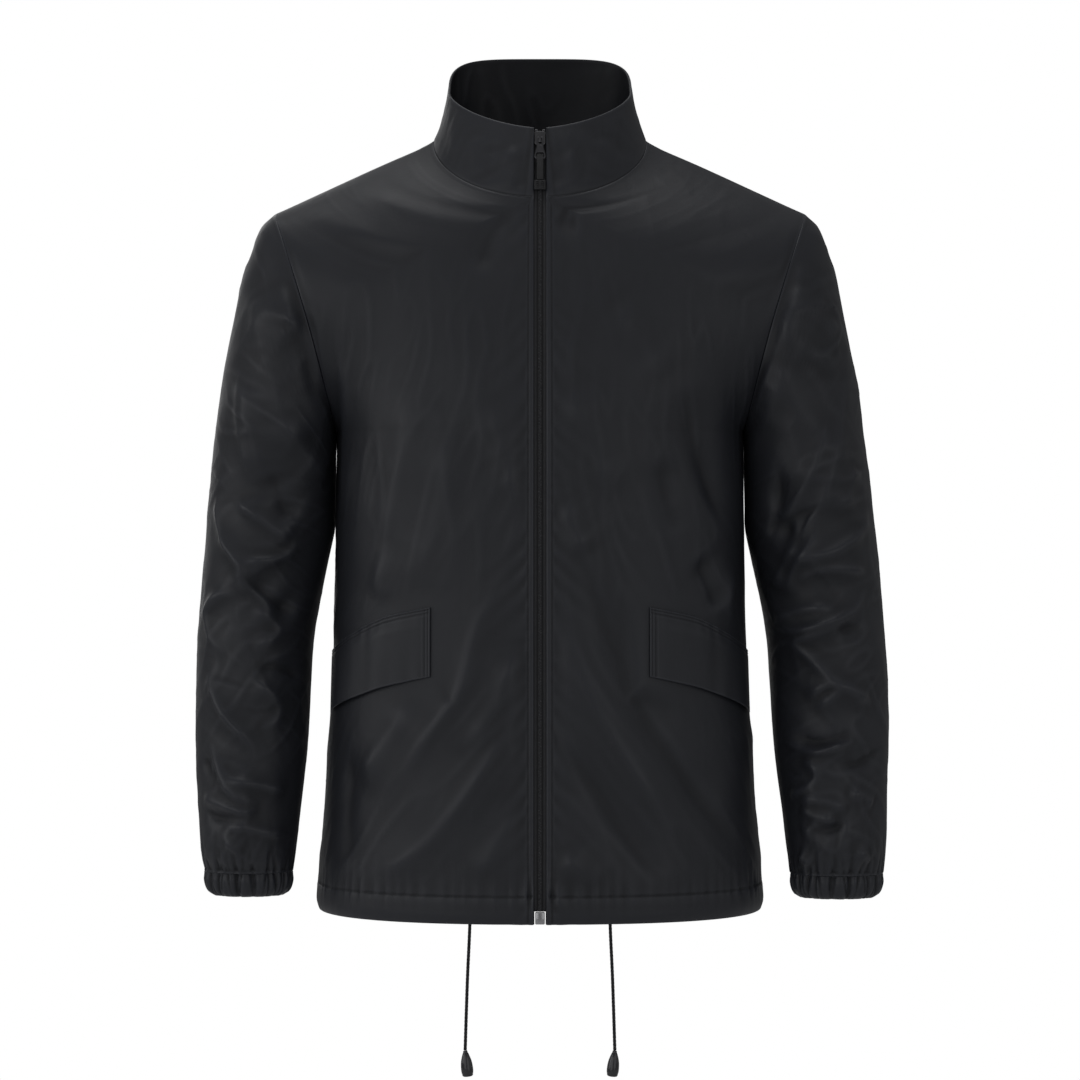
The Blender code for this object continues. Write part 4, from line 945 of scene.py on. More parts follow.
def body_wrinkles(pattern, seed):
    """Small wrinkles that run down the cloth, and fan out to the sides over the hips."""
    x, z = pattern[..., 0], pattern[..., 1]
    below = np.maximum(0.0, FAN_TOP - z)
    fan = np.sign(x) * (FAN_LEAN * below + below ** 2 * FAN_SPREAD)
    straightened = np.stack([x - fan, z], axis=-1)
    return (0.25 + 0.75 * ease((YOKE_CALM - z) / YOKE_CALM_FADE)) * (
        BROAD_WRINKLES * wrinkles(straightened, size=0.034, stretch=4.0, lean=0.0, seed=seed)
        + NARROW_WRINKLES * wrinkles(straightened, size=0.017, stretch=3.5, lean=0.06, seed=seed + 5)
    )


def calm_by_edges(points, from_side):
    """Goes from 0 at the side seam, the casing and the shoulder seam to 1 in the open cloth."""
    by_side = ease((from_side - 0.001) / CALM_BY_SEAM)
    by_casing = ease((points[..., 2] - CASING_TOP) / CALM_BY_CASING)
    return by_side * by_casing * ease((1 - body_levels[:, None]) / CALM_BY_SHOULDER)


def hem_lift(points, around):
    """The hem's casing: fuller than the cloth above, and puckered by its line of stitching."""
    above = points[..., 2] - CASING_TOP
    casing = CASING_FULLNESS * ease(-above / 0.004) - CASING_GROOVE * ridge(above, 0.0014)
    gathers = pucker(around, step=0.0125, wander=0.6)
    gathers += 0.5 * pucker(around, step=0.0071, wander=2.0)
    reach = np.where(above > 0, 0.010, 0.007)
    return casing + PUCKER_HEIGHT * gathers * np.exp(-np.abs(above) / reach)


def zip_edge_lift(points, from_zip, side):
    """The front's edge by the zip: a low welt, its stitching, and the puckers that it draws."""
    from_stitches = from_zip - ZIP_STITCHES
    welt = WELT * ease(1.6 - from_zip / ZIP_STITCHES)
    groove = WELT_GROOVE * ridge(from_stitches, STITCH_GROOVE)
    short = pucker(points[..., 2], step=0.0105, wander=side) * np.exp(-np.abs(from_stitches) / 0.006)
    slanting = pucker(points[..., 2] + 0.9 * from_zip, step=0.023, wander=3.0 * side)
    slanting *= ease((from_zip - ZIP_STITCHES) / 0.004) * np.exp(-from_zip / 0.017)
    return welt - groove + WELT_PUCKERS * short + SLANTING_PUCKERS * slanting


shell = shell_cloth("shell_cloth", SHELL_COLOUR, SHELL_SHINE)
front_columns = spread(turned_edge(0.012), sewn_edge(), FRONT_CELLS)
front_grids = {}
points, normals, from_zip, from_side, inwards = half_body(FRONT, front_columns)
for side_name, side in SIDES:
    lying = points * (side, 1, 1)
    pattern = np.stack([side * from_zip, points[..., 2]], axis=2)
    shown = seen(lying, FRONT)
    own = [c for c in FRONT_CREASES if c.route[0][0] * side > 0]
    calm = ease((from_zip - ZIP_STITCHES) / CALM_BY_ZIP)
    calm *= calm_by_edges(points, from_side)
    calm *= clear_of_flap(points)
    lift = BODY_RELIEF * crease_lift(own, shown, pattern) * calm
    lift += FRONT_SWELLING * rumple(pattern, SWELLING_SIZE, seed=3.0 + side) * calm
    lift += body_wrinkles(pattern, seed=7.0 + side) * calm
    lift += hem_lift(points, side * from_zip)
    lift += (body_levels < 0.5)[:, None] * zip_edge_lift(points, from_zip, side)
    outward = normals * (side, 1, 1)
    grid = lying + outward * (lift - inwards)[..., None]
    front_grids[side] = (grid, outward)
    piece = cloth("front_cloth_" + side_name, [grid], shell, "front_" + side_name)


# The back: one panel from side seam to side seam, cut like the fronts. Its creases spread from
# the shoulder blades and gather over the hem, as the fronts' do.
BACK_CELLS = 56
BACK_SWELLING = 0.0009
BACK_CREASES = creases(
    (-2.8, 12, 18, 0.8, (-158, -118), (-140, -190), (-104, -280)),
    (-2.6, 13, 18, 0.8, (156, -112), (141, -196), (112, -262)),
    (3.4, 10, 15, 0.7, (-175, -160), (-164, -232), (-150, -318)),
    (3.2, 10, 14, 0.7, (172, -150), (168, -238), (149, -330)),
    (2.4, 12, 16, 0.8, (-60, -240), (-68, -310), (-88, -398)),
    (3.4, 11, 17, 0.7, (42, -282), (58, -352), (75, -452)),
    (-2.6, 12, 18, 0.8, (-14, -120), (-22, -196), (-38, -262)),
    (-2.2, 12, 16, 0.8, (30, -96), (33, -158), (26, -232)),
    (-5.0, 10, 17, 0.5, (-172, -404), (-121, -478), (-84, -548), (-52, -646)),
    (4.8, 10, 16, 0.5, (-150, -470), (-108, -541), (-70, -636)),
    (-4.6, 10, 16, 0.5, (176, -421), (130, -506), (101, -573), (84, -660)),
    (4.4, 9, 15, 0.5, (158, -492), (133, -562), (121, -648)),
    (3.4, 9, 15, 0.6, (-26, -452), (-18, -531), (8, -628)),
    (-3.2, 9, 14, 0.6, (12, -431), (28, -520), (39, -617)),
    (3.0, 8, 12, 0.6, (-186, -522), (-158, -590), (-141, -662)),
    (2.8, 8, 12, 0.6, (60, -548), (52, -611), (57, -672)),
    (-2.6, 8, 11, 0.6, (-118, -596), (-112, -640), (-117, -676)),
    (2.6, 8, 12, 0.7, (184, -560), (170, -612), (166, -668)),
)

back_columns = spread(sewn_edge(), sewn_edge(), BACK_CELLS)
points, normals, from_middle, from_side, inwards = half_body(BACK, back_columns)
lying = np.stack([points * (side, 1, 1) for side in (-1, 1)])
outward = np.stack([normals * (side, 1, 1) for side in (-1, 1)])
outward[:, (from_middle == 0) & (body_levels[:, None] < 0.5), 0] = 0
around = np.stack([-from_middle, from_middle])
pattern = np.stack([around, lying[..., 2]], axis=-1)
calm = calm_by_edges(points, from_side)
calm *= ease(np.maximum(from_middle, 0.45 - body_levels[:, None]) / 0.020)
lift = BODY_RELIEF * crease_lift(BACK_CREASES, seen(lying, BACK), pattern) * calm
swellings = BACK_SWELLING * rumple(pattern, SWELLING_SIZE, seed=11.0)
lift += (swellings + body_wrinkles(pattern, seed=15.0)) * calm
lift += hem_lift(lying, around + 0.4)
grids = lying + outward * (lift - inwards)[..., None]
piece = cloth("back_cloth", list(grids), shell, "back")


# The sleeves: each is set into its armhole and closed by one seam, which runs down the inside of
# the sleeve. They hang with a little bend at the elbow, and their spare width and length stand in
# slanting creases, tighter towards the cuff.
SLEEVE = Table(
    "ring outer_x outer_z inner_x inner_z middle_y front back bow",
    (0, 0.2436, -0.0638, 0.1860, -0.2650, 0.000, 0.0780, 0.0850, 0.0055),
    (1, 0.2560, -0.0770, 0.1874, -0.2800, 0.000, 0.0785, 0.0830, 0.0040),
    (2, 0.2650, -0.1005, 0.1875, -0.2950, 0.001, 0.0790, 0.0810, 0.0020),
    (3, 0.2740, -0.1280, 0.1879, -0.3100, 0.002, 0.0790, 0.0800, 0.0),
    (4, 0.2860, -0.1840, 0.1885, -0.3330, 0.003, 0.0790, 0.0790, 0.0),
    (5, 0.2935, -0.2250, 0.1895, -0.3550, 0.004, 0.0770, 0.0770, 0.0),
    (6, 0.3000, -0.2800, 0.1960, -0.3860, 0.005, 0.0750, 0.0750, 0.0),
    (7, 0.3055, -0.3350, 0.2030, -0.4200, 0.004, 0.0720, 0.0720, 0.0),
    (8, 0.3100, -0.3910, 0.2083, -0.4550, 0.001, 0.0700, 0.0700, 0.0),
    (9, 0.3138, -0.4500, 0.2105, -0.4950, -0.004, 0.0670, 0.0670, 0.0),
    (10, 0.3148, -0.5100, 0.2120, -0.5350, -0.011, 0.0630, 0.0630, 0.0),
    (11, 0.3138, -0.5637, 0.2148, -0.5750, -0.019, 0.0590, 0.0590, 0.0),
    (12, 0.3113, -0.6088, 0.2190, -0.6130, -0.026, 0.0550, 0.0550, 0.0),
    (13, 0.3087, -0.6420, 0.2218, -0.6430, -0.032, 0.0470, 0.0470, 0.0),
    (14, 0.3050, -0.6633, 0.2243, -0.6633, -0.036, 0.0340, 0.0340, 0.0),
)
LEFT_SLEEVE_SWING = Table(
    "ring outwards_outside outwards_inside down",
    (0, 0.0, 0.0, 0.0),
    (2, 0.0, 0.0, 0.0),
    (4, -0.0015, 0.0, 0.0),
    (6, -0.0005, 0.0, 0.0),
    (8, 0.0015, 0.0005, 0.0),
    (10, 0.0035, 0.0012, 0.0),
    (12, 0.0050, 0.0026, 0.0010),
    (14, 0.0068, 0.0030, 0.0022),
)
LAST_RING = 14
CUFF_GATHERS = 38
GATHER_DEPTH = 0.0040
SLEEVE_ROW = 0.0025
SLEEVE_CELLS = 150
SLEEVE_RELIEF = 1.9
BEHIND_RELIEF = 0.45
SLEEVE_RADIUS = 0.055
SLEEVE_SWELLING = 0.0010
BROAD_SLEEVE_WRINKLES = 0.0014
NARROW_SLEEVE_WRINKLES = 0.0013
CUFF_PUCKERS = 0.0008
SIDE_RELIEF = 0.35
GATHERS_FADE = 0.022
FAR_AWAY = (9.0, 9.0)
SLEEVE_CREASES = {
    -1: creases(
        (2.8, 9, 17, 0.6, (-262, -127), (-258, -163), (-250, -194), (-240, -229), (-231, -262),
         (-217, -286)),
        (3.2, 7, 12, 0.5, (-276, -198), (-275, -220), (-273, -251), (-267, -290), (-259, -323)),
        (2.8, 6, 10, 0.5, (-269, -208), (-267, -246), (-260, -283), (-255, -316)),
        (2.2, 9, 15, 0.6, (-252, -122), (-246, -152), (-228, -185), (-209, -242)),
        (-3.0, 9, 9, 0.6, (-228, -163), (-213, -194), (-207, -242)),
        (1.6, 6, 8, 0.6, (-233, -166), (-228, -162), (-220, -173)),
        (3.8, 9, 14, 0.5, (-235, -244), (-224, -273), (-209, -294), (-195, -311)),
        (3.0, 5, 8, 0.25, (-293, -316), (-296, -334), (-290, -359), (-282, -380)),
        (3.6, 6, 10, 0.25, (-282, -323), (-265, -338), (-239, -356), (-226, -369)),
        (-3.2, 8, 8, 0.4, (-248, -299), (-235, -331), (-220, -345)),
        (5.0, 6, 12, 0.20, (-296, -345), (-287, -366), (-275, -385), (-271, -402), (-254, -420),
         (-244, -439)),
        (-4.6, 8, 9, 0.4, (-268, -392), (-251, -415), (-223, -432)),
        (3.0, 5, 8, 0.25, (-230, -363), (-227, -370), (-244, -380), (-265, -382), (-275, -387)),
        (3.6, 8, 6, 0.22, (-275, -411), (-296, -415), (-305, -429), (-302, -449), (-289, -472)),
        (2.8, 6, 8, 0.3, (-268, -423), (-244, -439), (-243, -449), (-254, -458), (-268, -462)),
        (4.2, 7, 9, 0.20, (-290, -479), (-300, -486), (-301, -498), (-287, -527), (-268, -550),
         (-262, -569)),
        (3.4, 7, 9, 0.25, (-268, -486), (-254, -500), (-242, -515), (-244, -529), (-259, -538)),
        (-3.4, 7, 7, 0.35, (-263, -484), (-251, -479), (-227, -484), (-221, -495)),
        (4.0, 6, 9, 0.20, (-305, -543), (-298, -562), (-289, -583), (-280, -598), (-256, -607)),
        (3.4, 5, 7, 0.22, (-289, -583), (-263, -587), (-232, -595)),
        (3.6, 6, 6, 0.22, (-310, -599), (-298, -604), (-275, -613), (-256, -609)),
        (-3.0, 5, 6, 0.3, (-309, -607), (-296, -619), (-268, -616)),
        (3.2, 5, 7, 0.22, (-292, -628), (-275, -628), (-251, -633), (-232, -637)),
        (2.4, 5, 6, 0.25, (-292, -630), (-282, -645), (-275, -654)),
        (-2.6, 6, 6, 0.3, (-309, -557), (-305, -576), (-293, -583)),
    ),
    1: creases(
        (3.2, 15, 9, 0.5, (259, -109), (257, -131), (247, -163), (238, -184), (224, -211),
         (213, -240), (203, -266)),
        (3.0, 12, 8, 0.5, (245, -127), (236, -152), (225, -176), (213, -198)),
        (-3.2, 7, 7, 0.4, (218, -157), (207, -176), (204, -203)),
        (2.2, 9, 9, 0.5, (271, -155), (264, -181), (258, -211)),
        (4.6, 7, 16, 0.4, (280, -176), (280, -211), (275, -251), (269, -283), (262, -316),
         (254, -345), (243, -369), (238, -381)),
        (3.6, 6, 10, 0.25, (266, -240), (258, -273), (247, -305), (234, -329), (224, -342),
         (216, -335), (216, -316)),
        (2.8, 6, 9, 0.35, (286, -292), (282, -316), (271, -340)),
        (3.4, 9, 10, 0.3, (301, -331), (293, -353), (256, -377)),
        (-3.2, 7, 7, 0.35, (210, -294), (219, -305), (216, -338), (227, -345), (251, -335),
         (254, -348)),
        (-2.8, 8, 8, 0.4, (208, -348), (221, -354), (238, -357)),
        (4.0, 6, 9, 0.22, (255, -345), (250, -363), (236, -390), (228, -415)),
        (3.0, 6, 8, 0.25, (240, -358), (226, -387), (216, -411)),
        (3.6, 7, 10, 0.3, (294, -354), (271, -373), (247, -380), (238, -392)),
        (3.4, 8, 6, 0.22, (302, -392), (276, -390), (252, -392), (238, -402)),
        (3.0, 6, 8, 0.25, (216, -444), (228, -432), (255, -425), (276, -427)),
        (4.2, 5, 7, 0.20, (216, -444), (240, -446), (264, -439), (290, -425)),
        (3.4, 7, 6, 0.25, (257, -486), (245, -467), (238, -458), (247, -453), (266, -444),
         (288, -427), (301, -402)),
        (3.8, 7, 9, 0.25, (247, -462), (264, -486), (288, -505), (309, -517)),
        (-2.6, 6, 6, 0.3, (271, -449), (285, -444), (299, -441)),
        (3.0, 7, 7, 0.3, (252, -524), (256, -519), (273, -503), (264, -498), (243, -510)),
        (5.0, 5, 6, 0.18, (223, -548), (240, -554), (257, -557), (276, -553), (293, -545)),
        (-3.6, 5, 5, 0.3, (230, -543), (257, -550), (288, -540)),
        (3.8, 7, 7, 0.22, (238, -564), (252, -571), (256, -583), (247, -592), (228, -602)),
        (-3.4, 6, 7, 0.3, (271, -569), (297, -569), (311, -559), (316, -553)),
        (3.2, 5, 7, 0.22, (240, -607), (255, -602), (271, -607), (285, -613)),
        (3.0, 5, 6, 0.22, (240, -607), (257, -619), (276, -623)),
        (2.6, 6, 6, 0.25, (257, -619), (252, -628), (240, -635)),
        (2.6, 6, 7, 0.3, (282, -595), (297, -599), (306, -609)),
        (-2.8, 5, 6, 0.3, (243, -623), (257, -630), (285, -625)),
        (2.4, 5, 6, 0.25, (290, -646), (304, -661)),
        (2.4, 5, 6, 0.25, (238, -652), (249, -664)),
    ),
}
SLEEVE_BACK_CREASES = creases(
    (3.6, 6, 12, 0.3, (262, -130), (256, -190), (240, -250), (222, -292)),
    (-3.4, 8, 10, 0.4, (228, -150), (218, -196), (209, -238)),
    (3.2, 6, 10, 0.3, (284, -196), (281, -252), (268, -310)),
    (4.4, 6, 11, 0.22, (300, -344), (282, -366), (254, -384), (222, -388)),
    (4.0, 7, 9, 0.22, (302, -398), (272, -404), (240, -418), (214, -448)),
    (-3.8, 8, 8, 0.35, (296, -372), (266, -392), (232, -402)),
    (4.0, 6, 10, 0.22, (220, -462), (246, -474), (276, -470), (304, -452)),
    (3.6, 8, 7, 0.25, (306, -496), (280, -512), (252, -520), (226, -512)),
    (-3.2, 7, 7, 0.35, (300, -476), (268, -492), (236, -490)),
    (3.8, 6, 8, 0.22, (228, -548), (256, -556), (290, -548), (308, -534)),
    (3.4, 6, 7, 0.22, (304, -580), (276, -590), (246, -586)),
    (-3.0, 6, 6, 0.3, (236, -572), (262, -574), (292, -566)),
    (3.0, 5, 7, 0.25, (238, -610), (262, -620), (290, -616)),
    (2.6, 5, 6, 0.25, (296, -636), (274, -642), (252, -638)),
)


def sleeve_ring(ring, turns, side):
    """Points round a sleeve; turns are counted from its outside round by the front."""
    def at(name):
        return SLEEVE.at(name, ring)

    outer = np.array((at("outer_x"), at("middle_y"), at("outer_z")))
    inner = np.array((at("inner_x"), at("middle_y"), at("inner_z")))
    if side > 0:
        drop = LEFT_SLEEVE_SWING.at("down", ring)
        outer += (LEFT_SLEEVE_SWING.at("outwards_outside", ring), 0, -drop)
        inner += (LEFT_SLEEVE_SWING.at("outwards_inside", ring), 0, -drop)
    middle = (outer + inner) / 2
    depth = np.where(np.sin(turns) > 0, at("front"), at("back"))
    across = np.cos(turns)[:, None] * (outer - middle)
    bow = at("bow") * np.sin(turns) ** 2
    return middle + across + np.stack([-bow, -depth * np.sin(turns), 0 * turns], axis=1)


def gathered(turns, down):
    """How deep the elastic's gathers go in; down is 0 at its stitching and 1 at the cuff's foot."""
    depth = np.zeros((len(down), len(turns)))
    for k in range(CUFF_GATHERS):
        place = math.tau * (k + 0.34 * math.sin(2.7 * k)) / CUFF_GATHERS
        lean = 0.10 * math.sin(1.9 * k + 0.5)
        width = 0.034 * (1 + 0.4 * math.sin(3.3 * k))
        reach = 0.75 + 0.45 * math.sin(1.3 * k + 2)
        apart = turns[None, :] - place - lean * (down[:, None] - 0.3)
        apart = (apart + math.pi) % math.tau - math.pi
        strength = (0.7 + 0.3 * math.sin(4.1 * k)) * (1 - 0.5 * ease((down - reach) / 0.3))
        depth += strength[:, None] * np.exp(0.2 - np.hypot(apart / width, 0.2))
    return depth


def even_rings(side):
    """How far down its outside each of a sleeve's rings is."""
    rings = np.linspace(0, LAST_RING, 281)
    outside = np.array([sleeve_ring(ring, np.zeros(1), side)[0] for ring in rings])
    return rings, lengths_along(outside)


seam_distances, seam_depths = sewn_edge()
for side_name, side in SIDES:
    rings, walked = even_rings(side)
    length = walked[-1]
    down = np.concatenate([
        seam_distances, np.array(FINE_STEPS[:3]),
        np.arange(0.006, length - 0.030, SLEEVE_ROW),
        np.arange(length - 0.028, length - 0.0012, 0.0016),
        length - seam_distances[::-1],
    ])
    depths_down = np.zeros(len(down))
    depths_down[:len(seam_depths)] = seam_depths
    depths_down[-len(seam_depths):] = seam_depths[::-1]
    places = np.interp(down, walked, rings)
    edge = seam_distances / SLEEVE_RADIUS
    turns = math.pi + np.concatenate([
        edge, np.linspace(0.035, math.tau - 0.035, SLEEVE_CELLS + 1), math.tau - edge[::-1],
    ])
    depths_round = np.zeros(len(turns))
    depths_round[:len(edge)] = seam_depths
    depths_round[-len(edge):] = seam_depths[::-1]

    def row_at(ring, slide):
        return sleeve_ring(np.clip(ring, 0, LAST_RING), turns + slide, side)

    points, normals = sweep(row_at, places)
    middles = points.mean(1, keepdims=True)
    normals *= np.sign((normals * (points - middles)).sum())
    lying = points * (side, 1, 1)
    outward = normals * (side, 1, 1)
    round_sleeve = np.broadcast_to(-side * turns * SLEEVE_RADIUS, points.shape[:2])
    pattern = np.stack([round_sleeve, points[..., 2]], axis=2)
    in_front = np.sin(turns)[None, :, None] > 0
    from_front = np.where(in_front, seen(lying, FRONT), FAR_AWAY)
    from_back = np.where(in_front, FAR_AWAY, seen(lying, BACK))
    behind = [c._replace(route=[(side * x, z) for x, z in c.route]) for c in SLEEVE_BACK_CREASES]
    calm = ease((down - 0.002) / 0.016) * ease((length - down - 0.002) / 0.012)
    under = np.abs(turns - 2 * math.pi) / math.pi
    calm = calm[:, None] * (1 - 0.6 * ease((under - 0.8) / 0.2))
    lift = crease_lift(SLEEVE_CREASES[side], from_front, pattern)
    lift += BEHIND_RELIEF * crease_lift(behind, from_back, pattern)
    lift *= SIDE_RELIEF + (1 - SIDE_RELIEF) * np.abs(normals[..., 1])
    lift *= calm * SLEEVE_RELIEF
    calm *= 1 - 0.6 * np.cos(turns) ** 6
    lift += SLEEVE_SWELLING * rumple(pattern, size=0.055, seed=21.0 + side) * calm
    broad = wrinkles(pattern, size=0.026, stretch=2.6, lean=-0.7 * side, seed=25.0 + side)
    narrow = wrinkles(pattern, size=0.020, stretch=2.6, lean=1.1 * side, seed=28.0 + side)
    lift += (BROAD_SLEEVE_WRINKLES * broad + NARROW_SLEEVE_WRINKLES * narrow) * calm
    from_cuff = (length - down) / GATHERS_FADE
    by_cuff = np.exp(-1.6 * from_cuff)[:, None] * ease((length - down) / 0.002)[:, None]
    lift -= GATHER_DEPTH * by_cuff * gathered(turns, -from_cuff)
    puckers = pucker(turns * SLEEVE_RADIUS, step=0.0125, wander=side)
    lift += CUFF_PUCKERS * by_cuff * puckers[None, :]
    inwards = depths_down[:, None] + depths_round[None, :]
    grid = lying + outward * (lift - inwards)[..., None]
    piece = cloth("sleeve_cloth_" + side_name, [grid], shell, "sleeve_" + side_name)


# The cuffs: the sleeves' ends turned up over elastic and stitched round. The elastic draws them
# into narrow uneven gathers, and their lower edges curl in.
CUFF = Table(
    "height half_width half_depth",
    (-0.6851, 0.0300, 0.0220),
    (-0.6815, 0.0358, 0.0265),
    (-0.6740, 0.0390, 0.0290),
    (-0.6633, 0.0398, 0.0300),
)
CUFF_TOP = -0.6633
CUFF_FOOT = -0.6851
CUFF_CELLS = 228
CUFF_ROWS = 14
CUFF_INSIDE_ROWS = 12
CUFF_SEAM_ROWS = 4
CUFF_WALL = 0.0022
CUFF_RIPPLE = 0.0004
CUFF_FULLNESS = 0.0008
CUFF_SETBACK = 0.0003

for side_name, side in SIDES:
    outer, inner = sleeve_ring(LAST_RING, np.array((0.0, math.pi)), side)
    middle = (outer + inner) / 2
    widened = (outer[0] - inner[0]) / 2 - CUFF.at("half_width", CUFF_TOP)
    bends = np.linspace(math.pi / 2, 0, CUFF_SEAM_ROWS)
    even_heights = np.linspace(CUFF_TOP - 0.0016, CUFF_FOOT, CUFF_ROWS)
    heights = np.append(CUFF_TOP - SEAM_RADIUS * (1 - np.sin(bends)), even_heights)
    insets = np.append(SEAM_RADIUS * (1 - np.cos(bends)), np.zeros(CUFF_ROWS))
    insets[0] += SEAM_TAIL
    heights = np.append(heights, heights[::-1][:CUFF_INSIDE_ROWS])
    insets = np.append(insets, np.full(CUFF_INSIDE_ROWS, CUFF_WALL))
    turns = np.linspace(0, math.tau, CUFF_CELLS + 1)
    down = (CUFF_TOP - heights) / (CUFF_TOP - CUFF_FOOT)
    folds = gathered(turns, down) * GATHER_DEPTH
    folds -= CUFF_RIPPLE * (1 + np.sin(turns * 17 + 1.5 * np.sin(turns * 5)))[None, :]
    fullness = CUFF_FULLNESS * ease((down - 0.05) / 0.3) - CUFF_SETBACK
    grid = np.empty((len(heights), len(turns), 3))
    for k, height in enumerate(heights):
        out = fullness[k] - folds[k] - insets[k]
        half_width = CUFF.at("half_width", height) + widened + out
        half_depth = CUFF.at("half_depth", height) + out
        grid[k, :, 0] = middle[0] + half_width * np.cos(turns)
        grid[k, :, 1] = middle[1] - half_depth * np.sin(turns)
        grid[k, :, 2] = middle[2] + height - CUFF_TOP
    piece = cloth("cuff_cloth_" + side_name, [grid * (side, 1, 1)], shell, "cuff_" + side_name)


# The collar: two layers of the shell cloth that stand up round the neck, folded along the top edge
# and open at the zip. It stands without stiffening, so it has soft upright creases.
COLLAR_HALF_WIDTH = 0.0846
COLLAR_HALF_DEPTH = 0.078
COLLAR_SIDE_HEIGHT = 0.049
COLLAR_RISE = 0.042
COLLAR_FRONT_ROUND = 1.25
COLLAR_BACK_ROUND = 0.50
COLLAR_HOLLOW = 0.0035
COLLAR_WALL = 0.0024
COLLAR_HEIGHT = 0.066
COLLAR_CELLS = 190
COLLAR_ROWS = 26
# Rows and columns close to the collar's edges, as distances from them. The lowest row lies just
# under the fronts and the back, so that the seam leaves no gap.
COLLAR_END_STEPS = (0.0, 0.0001, 0.0003, 0.0006, 0.0012, 0.0022, 0.0034, 0.0050)
COLLAR_FOOT_STEPS = (-0.0010, 0.0, 0.0004, 0.0012, 0.0024)
COLLAR_SWELLING = 0.0005
COLLAR_WRINKLES = 0.0004
END_GROOVE = 0.0005
FOOT_GROOVE = 0.0004
INSIDE_SWELLING = 0.0012
INSIDE_WRINKLES = 0.0012
# The collar's inner layer: the cloth's duller wrong side, in a darker colour that is painted shade
# inside the collar
INSIDE_PAINTED_SHADE_COLOUR = (0.0150, 0.0160, 0.0196)
WRONG_SIDE_SHINE = 0.25
COLLAR_CREASES = creases(
    (1.4, 6, 9, 0.6, (-26, 2), (-28, -18), (-24, -42)),
    (-1.6, 5, 8, 0.6, (-17, 0), (-15, -22), (-19, -46)),
    (1.2, 7, 9, 0.7, (-58, 14), (-60, -8), (-55, -30)),
    (-1.2, 7, 9, 0.7, (-43, 6), (-46, -14), (-42, -34)),
    (1.2, 6, 8, 0.6, (-78, 28), (-80, 4), (-76, -12)),
    (1.4, 6, 8, 0.6, (24, 0), (27, -20), (22, -44)),
    (-1.5, 5, 7, 0.6, (15, 1), (17, -20), (14, -42)),
    (-1.2, 7, 8, 0.7, (41, 6), (38, -16), (43, -36)),
    (1.2, 7, 9, 0.7, (56, 12), (59, -6), (54, -28)),
    (-1.2, 6, 8, 0.6, (76, 26), (73, 8), (77, -14)),
)


def collar_edge(turn):
    """A point of the collar's top edge; turn is counted as on the neck seam."""
    power = COLLAR_FRONT_ROUND if turn <= math.pi / 2 else COLLAR_BACK_ROUND
    x = COLLAR_HALF_WIDTH * abs(math.sin(turn)) ** power
    y = -COLLAR_HALF_DEPTH * math.copysign(abs(math.cos(turn)) ** power, math.cos(turn))
    return np.array((x, y, COLLAR_SIDE_HEIGHT + COLLAR_RISE * y / COLLAR_HALF_DEPTH))


def collar_column(turn, shares, cut_at_zip=True):
    """Points up the collar; past half a turn it comes back round the wearer's right side."""
    mirror = 1 if turn <= math.pi else -1
    turn = turn if turn <= math.pi else math.tau - turn
    low, high = neck_point(turn), collar_edge(turn)
    if cut_at_zip and turn < math.pi / 2:
        low[0] = max(low[0], FRONT_EDGE)
        high[0] = max(high[0], FRONT_EDGE)
    outward = np.array((math.sin(turn), -math.cos(turn), 0.0))
    hollow = 0.001 - COLLAR_HOLLOW * math.sin(turn) ** 4
    shares = np.asarray(shares)[:, None]
    bulge = outward * hollow * 4 * shares * (1 - shares)
    return (low + (high - low) * shares + bulge) * (mirror, 1, 1)


def round_end(distance, wall):
    """The share of its full thickness that a wall has near its rounded end."""
    return np.sqrt(1 - (1 - np.clip(distance / (wall / 2), 0, 1)) ** 2)


def two_layers(points, outward, wall, fullness, relief, inner_relief=0.0):
    """The outer and the inner surface of a folded piece, as one closed grid."""
    outer = points + outward * (wall / 2 * (fullness - 1) + relief)[..., None]
    inner = points - outward * (wall / 2 * (fullness + 1) + inner_relief)[..., None]
    return np.concatenate([outer, inner[::-1], outer[:1]])


quarter = (1 - np.cos(np.linspace(0, math.pi, 161))) / 2 * math.pi / 2
later_quarters = [k * math.pi / 2 + quarter[1:] for k in (1, 2, 3)]
dense_turns = np.concatenate([quarter, *later_quarters])
half_way = np.array([collar_column(turn, (0.5,))[0] for turn in dense_turns])
round_collar = lengths_along(half_way)
girth = round_collar[-1]
first = round_collar[np.argmax(half_way[:, 0] > FRONT_EDGE + 1e-5) - 1]
last = girth - first
end_steps = np.array(COLLAR_END_STEPS)
even_marks = np.linspace(first + 0.0065, last - 0.0065, COLLAR_CELLS)
marks = np.concatenate([first + end_steps, even_marks, last - end_steps[::-1]])
collar_turns = np.interp(marks, round_collar, dense_turns)
collar_shares = np.concatenate([
    np.array(COLLAR_FOOT_STEPS) / COLLAR_HEIGHT,
    np.linspace(0.055, 0.91, COLLAR_ROWS),
    1 - end_steps[::-1] / COLLAR_HEIGHT,
])


def collar_row(share, slide):
    """Points round the collar at one height. They're cut at the zip where they aren't slid."""
    return np.array([collar_column(turn + slide, (share,), slide == 0)[0] for turn in collar_turns])


